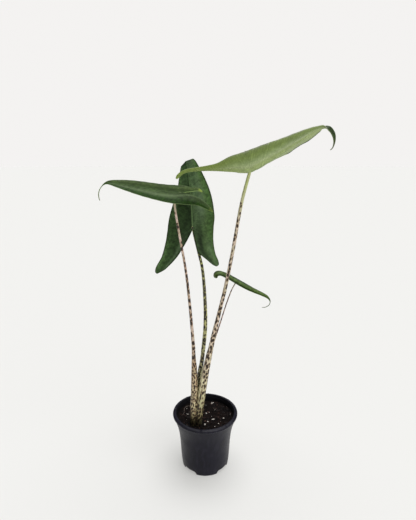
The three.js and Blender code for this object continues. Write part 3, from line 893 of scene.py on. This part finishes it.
def buildStalk(name, stalk, node, look):
    form = stalkForm
    sides, steps = form["sides"], form["steps"]
    places, length = smoothPath(stalk["path"], steps)
    tube, spots = gridSheet(name, sides, steps)
    straight, layers = [], {}
    for vertex, (column, row) in zip(tube.data.vertices, spots):
        centre, run = places[row], runAt(places, row)
        first = (Vector((0, -1, 0)) + run * run.y).normalized()
        turn = 2 * pi * (column % sides) / sides
        around = first * cos(turn) + run.cross(first) * sin(turn)
        radius, margin = sheathAt(stalk, centre, around)
        left = length * (1 - row / steps)
        radius *= sqrt(max(1 - max(1 - left / form["tip"], 0) ** 2, 0.01))
        point = centre + around * radius
        vertex.co = point * mm
        straight.append((cos(turn) * radius * mm, sin(turn) * radius * mm, (length - left) * mm))
        addValues(layers, margin=margin, height=centre.z * mm, patch=patchAt(point, stalk))
    storeVectors(tube, "straight", straight)
    storeLayers(tube, layers)
    closeTube(tube, sides, gap=0.01)
    finishPiece(tube, [look], node)


# Colours and cover are tables by height in metres, cover being the share of the skin that is blotched. Spots
# is the number of blotches per metre round and along the stalk, and dashes the same for the sheath.
stalkLooks = {
    "left": {
        "colours": {
            0.1: (0.34, 0.36, 0.15), 0.13: (0.72, 0.67, 0.38), 0.165: (0.72, 0.63, 0.39),
            0.195: (0.64, 0.50, 0.31), 0.228: (0.57, 0.42, 0.26), 0.245: (0.66, 0.56, 0.46),
            0.48: (0.74, 0.57, 0.49), 0.509: (0.72, 0.56, 0.44), 0.516: (0.06, 0.10, 0.03),
        },
        "blotch": (0.026, 0.014, 0.007), "halo": (0.27, 0.15, 0.08),
        "cover": {
            0.09: 0.44, 0.15: 0.4, 0.22: 0.38, 0.26: 0.44, 0.41: 0.44, 0.44: 0.2, 0.49: 0.1, 0.5: 0.0,
        },
        "spots": (170, 145), "dashes": (400, 215), "dashTop": 0.225,
    },
    "right": {
        "colours": {
            0.1: (0.26, 0.28, 0.12), 0.13: (0.42, 0.42, 0.22), 0.152: (0.62, 0.60, 0.34),
            0.17: (0.78, 0.74, 0.46), 0.215: (0.86, 0.76, 0.56), 0.30: (0.84, 0.68, 0.55),
            0.46: (0.74, 0.61, 0.50), 0.505: (0.54, 0.54, 0.31), 0.54: (0.44, 0.52, 0.17),
        },
        "blotch": (0.030, 0.018, 0.009), "halo": (0.28, 0.19, 0.10),
        "cover": {0.09: 0.44, 0.15: 0.38, 0.2: 0.36, 0.24: 0.34, 0.46: 0.33, 0.5: 0.18, 0.512: 0.0},
        "spots": (250, 150), "dashes": (290, 140), "dashTop": 0.178,
    },
    "middle": {
        "colours": {
            0.1: (0.32, 0.35, 0.16), 0.14: (0.60, 0.63, 0.34), 0.165: (0.68, 0.68, 0.40),
            0.21: (0.62, 0.60, 0.34), 0.3: (0.60, 0.60, 0.22), 0.42: (0.54, 0.58, 0.17),
        },
        "blotch": (0.016, 0.012, 0.007), "halo": (0.16, 0.14, 0.05),
        "cover": {0.09: 0.46, 0.16: 0.42, 0.2: 0.46, 0.3: 0.51, 0.42: 0.5},
        "spots": (340, 215), "dashes": (390, 210), "dashTop": 0.19,
    },
    "small": {
        "colours": {
            0.1: (0.25, 0.25, 0.13), 0.13: (0.4, 0.4, 0.22), 0.2: (0.46, 0.38, 0.28),
            0.3: (0.50, 0.36, 0.30), 0.36: (0.44, 0.40, 0.26),
        },
        "blotch": (0.075, 0.038, 0.030), "halo": (0.24, 0.14, 0.11),
        "cover": {0.09: 0.45, 0.3: 0.45, 0.35: 0.3},
        "spots": (260, 170), "dashes": (400, 220), "dashTop": 0.2,
    },
}

stalkPattern = {
    "heights": (0.09, 0.56),  # that the colours run between
    "wobble": 0.6, "dashWobble": 0.35,
    "dashFade": (0.02, 0.012),  # heights under and over their top in which dashes turn to spots
    "faint": (1.9, 0.9),  # how many times as many faint spots as dark ones, and their size beside them
    "bare": 0.85,  # how far a pale patch clears its spots
    "grain": ((900.0, 900.0, 160.0), 3.0), "tint": ((160.0, 160.0, 70.0), 2.0),  # scales and detail
    "tinge": (0.40, 0.42, 0.22), "margin": (0.20, 0.13, 0.08), "patch": (0.92, 0.86, 0.54),
    "groundShade": (0.104, 0.121),  # heights between which the foot of the stalk darkens with painted shade by the soil
}


def blotchReach(cover):
    # the radius at which round blotches, strewn one to a unit of space, fill the share that is covered
    return (-log(1 - cover) / (4 / 3 * pi)) ** (1 / 3)


def blotchDistance(tree, straight, counts, wobble):
    around, up = counts
    spot = stretched(tree, straight, (around, around, up))
    warp = addNode(tree, "TexNoise", {"Vector": spot, "Scale": 1.7, "Detail": 2.0}).outputs["Color"]
    shift = vectorMaths(tree, "SUBTRACT", warp, (0.5,) * 3)[0]
    moved = vectorMaths(tree, "MULTIPLY_ADD", shift, (wobble,) * 3, spot)[0]
    return addNode(tree, "TexVoronoi", {"Vector": moved, "Scale": 1.0}).outputs["Distance"]


def stalkMaterial(name, look):
    pattern = stalkPattern
    low, high = pattern["heights"]
    material, tree = newMaterial(name, Roughness=0.4, Specular_IOR_Level=0.35)
    straight, height = ownVector(tree, "straight"), ownValue(tree, "height")
    spot = ranged(tree, height, low, high, shape="LINEAR")

    def upTheStalk(stops):
        return colourRamp(tree, spot, {(z - low) / (high - low): colour for z, colour in stops.items()})

    fresh = upTheStalk(look["colours"])
    reach = upTheStalk({z: (blotchReach(cover),) * 3 for z, cover in look["cover"].items()})
    reach = splitVector(tree, reach)[0]
    upper = blotchDistance(tree, straight, look["spots"], pattern["wobble"])
    lower = blotchDistance(tree, straight, look["dashes"], pattern["dashWobble"])
    under, over = pattern["dashFade"]
    below = ranged(tree, height, look["dashTop"] - under, look["dashTop"] + over, 1.0, 0.0)
    field = maths(tree, "ADD", upper, times(tree, maths(tree, "SUBTRACT", lower, upper), below))
    field = maths(tree, "SUBTRACT", field, reach)
    field = maths(tree, "ADD", field, ranged(tree, reach, 0.02, 0.16, 0.4, 0.0))
    patch = ownValue(tree, "patch")
    field = maths(tree, "MULTIPLY_ADD", patch, pattern["bare"], field)
    more, size = pattern["faint"]
    faint = blotchDistance(tree, straight, [count * more for count in look["spots"]], pattern["wobble"])
    faint = maths(tree, "SUBTRACT", faint, times(tree, reach, size))
    grain, tint = (stretchedNoise(tree, straight, *pattern[key]) for key in ("grain", "tint"))
    colour = layered(
        tree, fresh,
        (tint, 0.42, 0.62, 0.0, 0.5, pattern["tinge"]),
        (grain, 0.35, 0.7, 0.0, 0.3, look["halo"]),
        (faint, -0.06, 0.06, 0.45, 0.0, look["halo"]),
    )
    colour = layered(
        tree, mixed(tree, patch, colour, pattern["patch"]),
        (field, 0.02, 0.2, 0.8, 0.0, look["halo"]),
        (field, -0.05, 0.03, 1.0, 0.0, look["blotch"]),
    )
    colour = mixed(tree, times(tree, ownValue(tree, "margin"), 0.4), colour, pattern["margin"])
    # the foot of the stalk is darkened by painted shade near the soil
    colour = scaled(tree, colour, ranged(tree, height, *pattern["groundShade"], 0.14, 1.0))
    rough = ranged(tree, grain, 0.2, 0.8, 0.34, 0.52)
    return finishLook(material, colour, rough, relief=grain, depth=0.0003, strength=0.7)


for stalkName, stalk in stalks.items():
    look = stalkMaterial(stalkName + "StalkSkin", stalkLooks[stalkName])
    buildStalk(stalkName + "Stalk", stalk, "petiole_" + stalkName, look)
print("stalks done")


# nursery pot

potForm = {
    "segments": 144,
    "wall": 1.4,
    "side": [
        (42.5, 0), (43.8, 1.5), (45, 10), (46.2, 25), (46.9, 40), (47.7, 52), (48.8, 63), (50.2, 73),
        (52.2, 82), (54.6, 90), (57.2, 98), (58.6, 102.5),
    ],
    "lip": [
        (59.6, 103), (60.6, 104), (60.8, 105.4), (60.2, 106.8), (58.4, 107.9), (56, 108.5), (54.8, 108.2),
    ],
    "inside": 54.2,
    "top": 108.5,
    "ledge": 0.7,  # of the inner wall, under the lip
    "ledgeHeight": 103.5, "ledgeSlope": 0.6,
    "flare": 1.4,  # by which the mouth widens through the lip's top
    "edge": 0.35,  # rounding of all its sharp edges
    # Turn is the angle of the first one, depth is measured outwards and place is a radius, for a drain slot
    # from the back of its recess. A recess is as wide as its spread at the floor. A lug's middle is its sink
    # under the top.
    "recess": {"count": 4, "turn": 49, "width": 25, "spread": 36, "depth": 10, "height": 7, "round": 3},
    "drain": {"place": 4, "depth": 3.2, "width": 12, "height": 6, "round": 1.2},
    "lug": {
        "count": 8, "turn": -96, "place": 58, "depth": 2.4, "width": 3.4, "height": 1.1, "sink": 0.85,
        "round": 0.4,
    },
    "notch": {"count": 4, "turn": -82, "depth": 12, "width": 7, "height": 2.4, "round": 1},
}


def ringBody(name, profile, segments):
    # a closed turned body: each ring is extruded from the one before it, and flat faces close both ends
    deselectAll()
    radius, height = profile[0]
    bpy.ops.mesh.primitive_circle_add(vertices=segments, radius=radius * mm, fill_type="NGON")
    body = bpy.context.active_object
    body.name = name
    bpy.ops.object.mode_set(mode="EDIT")
    bpy.ops.mesh.select_all(action="SELECT")
    bpy.ops.transform.translate(value=(0, 0, height * mm))
    for nextRadius, nextHeight in profile[1:]:
        rise = (0, 0, (nextHeight - height) * mm)
        bpy.ops.mesh.extrude_region_move(TRANSFORM_OT_translate={"value": rise})
        k = nextRadius / radius
        bpy.ops.transform.resize(value=(k, k, 1), center_override=(0, 0, 0))
        radius, height = nextRadius, nextHeight
    bpy.ops.object.mode_set(mode="OBJECT")
    return body


def boxAt(name, angle, radius, height, size):
    deselectAll()
    turn = radians(angle)
    place = Vector((radius * cos(turn), radius * sin(turn), height)) * mm
    bpy.ops.mesh.primitive_cube_add(size=1, location=place, rotation=(0, 0, turn))
    box = bpy.context.active_object
    box.name = name
    box.scale = Vector(size) * mm
    bpy.ops.object.transform_apply(location=True, rotation=True, scale=True)
    return box


def roundEdges(piece, width, segments, **limits):
    applyModifier(piece, "BEVEL", width=width * mm, segments=segments, **limits)


def blockAt(name, angle, radius, height, spec):
    block = boxAt(name, angle, radius, height, (spec["depth"], spec["width"], spec["height"]))
    roundEdges(block, spec["round"], segments=4)
    return block


def aroundPot(spec):
    return [spec["turn"] + i * 360 / spec["count"] for i in range(spec["count"])]


def potFoot():
    return potForm["side"][0][0]


def recessCutters(margin, rounding):
    # arches between the feet, narrower at the top than at the floor, each grown by a margin
    recess = potForm["recess"]
    inner, outer = potFoot() - recess["depth"], potFoot() + 10
    size = (outer - inner + 2 * margin, recess["spread"] + 2 * margin, 2 * (recess["height"] + margin))
    narrow = (recess["width"] / 2 + margin) / (recess["spread"] / 2 + margin)
    cutters = []
    for angle in aroundPot(recess):
        cutter = boxAt("recess", angle, (inner + outer) / 2, 0, size)
        turned = Matrix.Rotation(radians(angle), 4, "Z")
        for vertex in cutter.data.vertices:
            if vertex.co.z > 0:
                local = turned.inverted() @ vertex.co
                local.y *= narrow
                vertex.co = turned @ local
        if rounding:
            roundEdges(cutter, rounding, segments=5)
        cutters.append(cutter)
    return joinPieces("recesses", cutters)


def potHollow():
    # the room inside the wall, wider above the ledge, less the recesses
    form = potForm
    top, inside, wall, ledgeAt = form["top"], form["inside"], form["wall"], form["ledgeHeight"]
    narrowest, flared = inside - form["ledge"], inside + form["flare"]
    profile = [(min(radius - wall, narrowest), max(height, wall)) for radius, height in form["side"][1:-1]]
    profile += [(narrowest, ledgeAt), (inside, ledgeAt + form["ledgeSlope"]), (inside, top - 1)]
    profile += [(flared, top + 0.6), (flared, top + 2)]
    hollow = ringBody("hollow", profile, form["segments"])
    cutBy(hollow, recessCutters(wall, form["recess"]["round"]))
    return hollow


def buildPot(look):
    form = potForm
    recess, drain, lug, notch = form["recess"], form["drain"], form["lug"], form["notch"]
    pot = ringBody("nurseryPot", [*form["side"], *form["lip"]], form["segments"])
    cutBy(pot, recessCutters(0, recess["round"]))
    cutBy(pot, potHollow())
    for angle in aroundPot(lug):
        cutBy(pot, blockAt("lug", angle, lug["place"], form["top"] - lug["sink"], lug), "UNION")
    for slitAngle, notchAngle in zip(aroundPot(recess), aroundPot(notch)):
        place = potFoot() - recess["depth"] + drain["place"]
        cutBy(pot, blockAt("slit", slitAngle, place, recess["height"], drain))
        cutBy(pot, blockAt("notch", notchAngle, potFoot(), 0, notch))
    editMesh(pot, (bpy.ops.mesh.remove_doubles, {"threshold": 0.005 * mm}))
    roundEdges(pot, form["edge"], segments=2, limit_method="ANGLE", angle_limit=radians(38))
    finishPiece(pot, [look], "pot", smooth=32)


potLook = {
    "plastic": (0.0042, 0.0038, 0.0100), "worn": (0.0115, 0.0106, 0.0200), "dust": (0.075, 0.064, 0.052),
    "inner": (0.002, 0.002, 0.0025), "gloss": 0.19,
    # scale, detail, roughness and distortion
    "cloud": (28.0, 4.0, 0.6), "grain": (1500.0, 3.0), "speck": (520.0, 2.0),
    "streak": ((260.0, 260.0, 9.0), 3.0), "scratch": ((90.0, 90.0, 1100.0), 2.0, 0.5, 0.4),
    "smear": ((150.0, 150.0, 55.0), 3.0, 0.6),
    # radii and heights between which the inside over the soil turns matt and darker with painted shade
    "mouth": (0.0546, 0.0556), "mouthHeight": (0.0955, 0.097),
}


def potMaterial():
    look = potLook
    material, tree = newMaterial("blackPlastic", Specular_IOR_Level=look["gloss"])
    spot = ownPlace(tree)
    z = splitVector(tree, spot)[2]
    cloud, grain, speck = (noiseOf(tree, spot, *look[key]) for key in ("cloud", "grain", "speck"))
    streak, scratch, smear = (
        stretchedNoise(tree, spot, *look[key]) for key in ("streak", "scratch", "smear")
    )
    colour = layered(
        tree, look["plastic"],
        (cloud, 0.35, 0.75, 0.0, 0.5, look["worn"]),
        (streak, 0.5, 0.85, 0.0, 0.4, look["worn"]),
        (smear, 0.48, 0.66, 0.0, 0.9, look["worn"]),
        (smear, 0.25, 0.45, 0.5, 0.0, look["inner"]),
    )
    scuffed = times(tree, ranged(tree, scratch, 0.66, 0.74), ranged(tree, cloud, 0.45, 0.6), 0.5)
    flat = stretched(tree, spot, (1.0, 1.0, 0.0))
    radius = vectorMaths(tree, "LENGTH", flat)["Value"]
    inside = ranged(tree, radius, *look["mouth"], 1.0, 0.0)
    shadedMouth = times(tree, inside, ranged(tree, z, *look["mouthHeight"]))
    dusty = times(tree, ranged(tree, speck, 0.72, 0.78), ranged(tree, z, 0.0, 0.03, 0.55, 0.12))
    # the inside over the soil takes the inner colour as painted shade; the same colour in the smears is the
    # plastic's own darker mottling
    for share, over in ((scuffed, "worn"), (times(tree, shadedMouth, 0.8), "inner"), (dusty, "dust")):
        colour = mixed(tree, share, colour, look[over])
    rough = maths(tree, "MULTIPLY_ADD", shadedMouth, 0.4, ranged(tree, cloud, 0.3, 0.8, 0.34, 0.54))
    relief = maths(tree, "MULTIPLY_ADD", streak, 0.5, grain)
    return finishLook(material, colour, rough, relief, depth=0.00012, strength=0.8)


buildPot(potMaterial())
print("pot done")


# soil

soilForm = {
    "level": 97, "sink": 0.4, "rings": 70, "crowding": 0.8, "segments": 200,
    "clod": 1.5, "clodScale": 0.075, "crumb": 0.8, "crumbScale": 0.42,
    "slice": 3.1,  # height in the noise at which the relief is read
    "flatRim": (48, 53),  # the relief fades out between these radii
    "gap": 0.3,  # to the pot's recesses
    # its outline under the surface, and down to the middle of its underside
    "edge": 53.2,
    "side": [
        (53.2, 94), (52.8, 90), (50.4, 82), (48.4, 73), (47, 63), (45.9, 52), (45.1, 40), (44.4, 25),
        (43.2, 10), (42, 1.7), (0, 1.7),
    ],
}


def soilHeight(x, y):
    form = soilForm
    place = Vector((x, y, form["slice"]))
    clods = noise.fractal(place * form["clodScale"], 0.9, 2.1, 4)
    crumbs = noise.turbulence(place * form["crumbScale"], 3, False) - 0.6
    inside = 1 - smoothStep(*form["flatRim"], hypot(x, y))
    return form["level"] - form["sink"] + (form["clod"] * clods + form["crumb"] * crumbs) * inside


def buildSoil(look):
    form = soilForm
    rings, segments = form["rings"], form["segments"]
    soil, spots = gridSheet("pottingMix", segments, rings + len(form["side"]))
    for vertex, (column, row) in zip(soil.data.vertices, spots):
        turn = 2 * pi * (column % segments) / segments
        if row > rings:
            radius, height = form["side"][row - rings - 1]
        else:
            radius = form["edge"] * (row / rings) ** form["crowding"]
        x, y = radius * cos(turn), radius * sin(turn)
        if row <= rings:
            height = soilHeight(x, y)
        vertex.co = Vector((x, y, height)) * mm
    closeTube(soil, segments)
    cutBy(soil, recessCutters(potForm["wall"] + form["gap"], 0))
    finishPiece(soil, [look], "soil")


soilLook = {
    "dark": (0.0022, 0.0017, 0.0017), "brown": (0.0085, 0.0048, 0.0038), "fibre": (0.045, 0.020, 0.014),
    "crumb": (0.11, 0.075, 0.058),
    # scale, detail, roughness and distortion
    "broadNoise": (90.0, 4.0, 0.6), "fineNoise": (700.0, 5.0, 0.7), "fibreNoise": (240.0, 4.0, 0.7, 1.6),
    "fibreStretch": (1.0, 3.5, 2.0),
}


def soilMaterial():
    look = soilLook
    material, tree = newMaterial("pottingMix", Roughness=0.7, Specular_IOR_Level=0.1)
    spot = ownPlace(tree)
    broad, fine = (noiseOf(tree, spot, *look[key]) for key in ("broadNoise", "fineNoise"))
    fibre = noiseOf(tree, stretched(tree, spot, look["fibreStretch"]), *look["fibreNoise"])
    colour = layered(
        tree, look["dark"],
        (broad, 0.35, 0.68, 0.0, 1.0, look["brown"]),
        (fibre, 0.60, 0.70, 0.0, 0.7, look["fibre"]),
        (fine, 0.67, 0.75, 0.0, 0.7, look["crumb"]),
    )
    rough = ranged(tree, fine, 0.3, 0.7, 0.65, 0.95)
    return finishLook(material, colour, rough, relief=maths(tree, "ADD", fine, fibre), depth=0.0012)


buildSoil(soilMaterial())
print("soil done")


# bits on the soil

bitsForm = {
    "seed": 5,
    "room": 52.6,  # radius of the soil's open surface
    # loose bits: how many, least and greatest length, and flatness
    "chips": (150, 2.4, 6.5, 0.35),
    "crumbs": (420, 0.8, 2.2, 0.8),
    "grains": (26, 0.9, 2.0, 0.9),  # perlite
    # shares of a bit's length: its lift, its width, and what its height is times its flatness
    "lift": 0.08, "slender": (0.35, 0.8), "thick": (0.6, 1.2),
    "tilt": 0.5,
    "fibres": 60, "fibreRoom": 51.5,  # the room keeps them off the wall
    "fibreBend": 0.6, "fibreStep": (1.2, 3.4), "fibreLift": (0.3, 1.3), "fibreWidth": (0.25, 0.5),
    "paleFibre": [(-44, 0.4), (-40.6, 6.7), (-40.4, 21), (-36, 29.3), (-30.1, 30.6)],
    "paleWidth": 0.7, "paleLift": (1.1, 2.3),  # over the soil, at its ends and between them
    "stalkBase": (-15.5, -20), "stalkRoom": 13,
    # perlite that lies in sight: x, y, length, width
    "inSight": [
        (15, -9.4, 5.4, 2.6), (-0.2, -24.4, 3.7, 3.4), (4.7, -16.5, 2.8, 2.1), (34.6, -7.8, 3.3, 3.0),
        (24.7, -21.5, 2.5, 1.9), (13.1, 40.7, 4.0, 2.8), (2, 7.6, 2.8, 2.5), (-33.8, 5.7, 5.0, 1.9),
    ],
}


def lumpOf(name, detail, roughness, seed):
    # a small rough stone or chip of unit size
    deselectAll()
    bpy.ops.mesh.primitive_ico_sphere_add(subdivisions=detail, radius=0.5)
    lump = bpy.context.active_object
    lump.name = name
    for vertex in lump.data.vertices:
        push = noise.noise(vertex.co * 2.4 + Vector((seed * 7.3, 1.7, 0.4)))
        vertex.co *= 1 + roughness * push
    return lump


def scatterCopies(name, models, places, look):
    # each place gets the next model in turn, with its own mesh, size, turn and tilt
    copies = []
    for i, (place, size, turn, tilt) in enumerate(places):
        model = models[i % len(models)]
        copy = model.copy()
        copy.data = model.data.copy()
        bpy.context.collection.objects.link(copy)
        matrix = (
            Matrix.Translation(Vector(place) * mm)
            @ Matrix.Rotation(turn, 4, "Z")
            @ Matrix.Rotation(tilt, 4, "X")
            @ Matrix.Diagonal((*(Vector(size) * mm), 1))
        )
        copy.data.transform(matrix)
        copies.append(copy)
    joined = joinPieces(name, copies)
    joined.data.materials.clear()
    finishPiece(joined, [look], None, smooth=40)
    for model in models:
        bpy.data.objects.remove(model)


def freePlace(draw, margin):
    # a spot on the soil, off the wall and the stalks
    form = bitsForm
    while True:
        radius = (form["room"] - margin) * sqrt(draw.random())
        turn = draw.uniform(0, 2 * pi)
        x, y = radius * cos(turn), radius * sin(turn)
        if dist((x, y), form["stalkBase"]) > form["stalkRoom"]:
            return x, y


def fibreTube(name, points, width):
    # a thin strand through the points, tapered at both ends
    steps, sides = 12, 5
    places = smoothPath(points, steps)[0]
    strand, spots = gridSheet(name, sides, steps)
    for vertex, (column, row) in zip(strand.data.vertices, spots):
        run = runAt(places, row)
        first = run.cross(Vector((0, 0, 1))).normalized()
        turn = 2 * pi * (column % sides) / sides
        around = first * cos(turn) + run.cross(first) * sin(turn)
        radius = width / 2 * sqrt(max(1 - abs(2 * row / steps - 1) ** 3, 0.04))
        vertex.co = (places[row] + around * radius) * mm
    closeTube(strand, sides)
    return strand


def fibrePoints(draw):
    # a strand that wanders over the soil, or nothing if it would run into the wall
    form = bitsForm
    x, y = freePlace(draw, 4)
    turn, bend = draw.uniform(0, 2 * pi), draw.uniform(-form["fibreBend"], form["fibreBend"])
    step = draw.uniform(*form["fibreStep"])
    points = []
    for k in range(4):
        points.append((x, y, soilHeight(x, y) + draw.uniform(*form["fibreLift"])))
        x, y = x + step * cos(turn), y + step * sin(turn)
        turn += bend
    return points if max(hypot(px, py) for px, py, pz in points) < form["fibreRoom"] else []


def buildFibres(draw):
    form = bitsForm
    strands = []
    for i in range(form["fibres"]):
        points = fibrePoints(draw)
        if points:
            strands.append(fibreTube("strand", points, draw.uniform(*form["fibreWidth"])))
    low, high = form["paleLift"]
    ends = (form["paleFibre"][0], form["paleFibre"][-1])
    arc = [(*spot, soilHeight(*spot) + (low if spot in ends else high)) for spot in form["paleFibre"]]
    pale = fibreTube("strand", arc, form["paleWidth"])
    finishPiece(joinPieces("coirFibres", strands), [coirMaterial()], None)
    finishPiece(joinPieces("paleFibre", [pale]), [paleMaterial()], None)


def looseBits(draw, kind):
    # place, size, turn and tilt of each bit of a kind
    form = bitsForm
    count, low, high, flat = form[kind]
    bits = []
    for i in range(count):
        x, y = freePlace(draw, high / 2)
        size = draw.uniform(low, high)
        height = soilHeight(x, y) + size * form["lift"]
        shape = (size, size * draw.uniform(*form["slender"]), size * flat * draw.uniform(*form["thick"]))
        turn, tilt = draw.uniform(0, 2 * pi), draw.uniform(-form["tilt"], form["tilt"])
        bits.append(((x, y, height), shape, turn, tilt))
    return bits


def buildChips(draw):
    chips = looseBits(draw, "chips") + looseBits(draw, "crumbs")
    models = [lumpOf("chipModel", detail=1, roughness=0.55, seed=i) for i in range(5)]
    scatterCopies("barkChips", models, chips, barkMaterial())


def buildPerlite(draw):
    perlite = [
        ((x, y, soilHeight(x, y) + width * 0.3), (length, width, width * 0.8), draw.uniform(-0.3, 0.3), 0)
        for x, y, length, width in bitsForm["inSight"]
    ]
    models = [lumpOf("grainModel", detail=2, roughness=0.5, seed=9 + i) for i in range(4)]
    scatterCopies("perliteGrains", models, perlite + looseBits(draw, "grains"), perliteMaterial())


bitLooks = {
    "bark": {
        0.3: (0.002, 0.0015, 0.0015), 0.52: (0.006, 0.0035, 0.0032), 0.62: (0.040, 0.015, 0.012),
        0.72: (0.13, 0.07, 0.052),
    },
    "barkDark": (0.003, 0.002, 0.002),
    "coir": {0.35: (0.008, 0.004, 0.003), 0.6: (0.05, 0.022, 0.015)},
    "paleFibre": ((0.10, 0.08, 0.07), (0.26, 0.22, 0.19)),
    "perlite": ((0.42, 0.36, 0.30), (0.88, 0.84, 0.78)),
}


def barkMaterial():
    material, tree = newMaterial("barkChip", Roughness=0.55, Specular_IOR_Level=0.14)
    spot = ownPlace(tree)
    colour = colourRamp(tree, noiseOf(tree, spot, 160.0, 2.0), bitLooks["bark"])
    fine = noiseOf(tree, stretched(tree, spot, (1.0, 2.6, 1.0)), 900.0, 4.0)
    colour = layered(tree, colour, (fine, 0.4, 0.7, 0.0, 0.5, bitLooks["barkDark"]))
    return finishLook(material, colour, relief=fine, depth=0.0006)


def perliteMaterial():
    shade, white = bitLooks["perlite"]
    material, tree = newMaterial("perlite", Roughness=0.7, Specular_IOR_Level=0.3)
    pits = noiseOf(tree, ownPlace(tree), 1600.0, 3.0)
    colour = layered(tree, shade, (pits, 0.35, 0.62, 0.0, 1.0, white))
    return finishLook(material, colour, relief=pits, depth=0.0005)


def coirMaterial():
    material, tree = newMaterial("coirFibre", Roughness=0.6, Specular_IOR_Level=0.3)
    tone = noiseOf(tree, ownPlace(tree), 120.0, 2.0)
    return finishLook(material, colourRamp(tree, tone, bitLooks["coir"]))


def paleMaterial():
    shade, pale = bitLooks["paleFibre"]
    material, tree = newMaterial("paleFibre", Roughness=0.5, Specular_IOR_Level=0.3)
    tone = noiseOf(tree, ownPlace(tree), 300.0, 2.0)
    return finishLook(material, layered(tree, shade, (tone, 0.35, 0.65, 0.0, 1.0, pale)))


draws = random.Random(bitsForm["seed"])
buildFibres(draws)
buildChips(draws)
buildPerlite(draws)
print("bits done")


# floor, light and camera

stageForm = {
    "floorRadius": 36, "floorColour": (0.4, 0.398, 0.394), "floorCloud": (0.36, 0.355, 0.35),
    "floorGlow": (0.387, 0.386, 0.370), "backdrop": (0.905, 0.892, 0.880),
    "horizon": (0.10, 0.10, 0.105), "overhead": (1.8, 1.8, 1.78), "front": (0.62, 0.62, 0.63),
    "ahead": (0.45, -0.85, 0.0),  # where the front is
    # where each light comes from, its angle and its strength
    "topLight": ((0.1, 0.2, 0.97), 50, 1.9),
    "sideLight": ((0.62, -0.62, 0.48), 60, 1.1),
}


def buildFloor():
    deselectAll()
    bpy.ops.mesh.primitive_circle_add(vertices=96, radius=stageForm["floorRadius"], fill_type="NGON")
    floor = bpy.context.active_object
    floor.name = "studioFloor"
    material, tree = newMaterial(
        "palePaper", Roughness=0.9, Specular_IOR_Level=0.0,
        Emission_Color=(*stageForm["floorGlow"], 1), Emission_Strength=1,
    )
    cloud = times(tree, noiseOf(tree, ownPlace(tree), 14.0, 2.0), 0.02)
    tone = mixed(tree, cloud, stageForm["floorColour"], stageForm["floorCloud"])
    floor.data.materials.append(finishLook(material, tone))


def buildStudio():
    # bright round the top light, softly lit from the front and dim round the horizon
    world = bpy.data.worlds.new("studio")
    bpy.context.scene.world = world
    world.use_nodes = True
    tree = world.node_tree
    towards = addNode(tree, "TexCoord").outputs["Generated"]
    above, ahead = (
        vectorMaths(tree, "DOT_PRODUCT", towards, middle)["Value"]
        for middle in (stageForm["topLight"][0], stageForm["ahead"])
    )
    studio = layered(
        tree, stageForm["horizon"],
        (ahead, 0.1, 0.95, 0.0, 1.0, stageForm["front"]),
        (above, 0.78, 1.0, 0.0, 1.0, stageForm["overhead"]),
    )
    seen = addNode(tree, "LightPath").outputs["Is Camera Ray"]
    shown = mixed(tree, seen, studio, stageForm["backdrop"])
    tree.links.new(shown, tree.nodes["Background"].inputs["Color"])


def softSun(name, towards, angle, strength):
    # a broad soft light that comes from a direction
    lamp = bpy.data.lights.new(name, "SUN")
    lamp.angle = radians(angle)
    lamp.energy = strength
    light = bpy.data.objects.new(name, lamp)
    bpy.context.collection.objects.link(light)
    light.rotation_euler = Vector(towards).to_track_quat("Z", "Y").to_euler()


cameraForm = {
    "place": (0.0053, -0.673, 0.569), "down": 13.97, "lens": 28, "sensor": 36, "clip": (0.01, 100),
}


def buildCamera():
    lens = bpy.data.cameras.new("camera")
    lens.lens, lens.sensor_width = cameraForm["lens"], cameraForm["sensor"]
    lens.clip_start, lens.clip_end = cameraForm["clip"]
    camera = bpy.data.objects.new("camera", lens)
    bpy.context.collection.objects.link(camera)
    camera.location = cameraForm["place"]
    camera.rotation_euler = (radians(90 - cameraForm["down"]), 0, 0)
    return camera


buildFloor()
buildStudio()
for lightName in ("topLight", "sideLight"):
    softSun(lightName, *stageForm[lightName])
bpy.context.scene.camera = buildCamera()
bpy.context.scene.view_settings.view_transform = "Standard"
print("stage done")
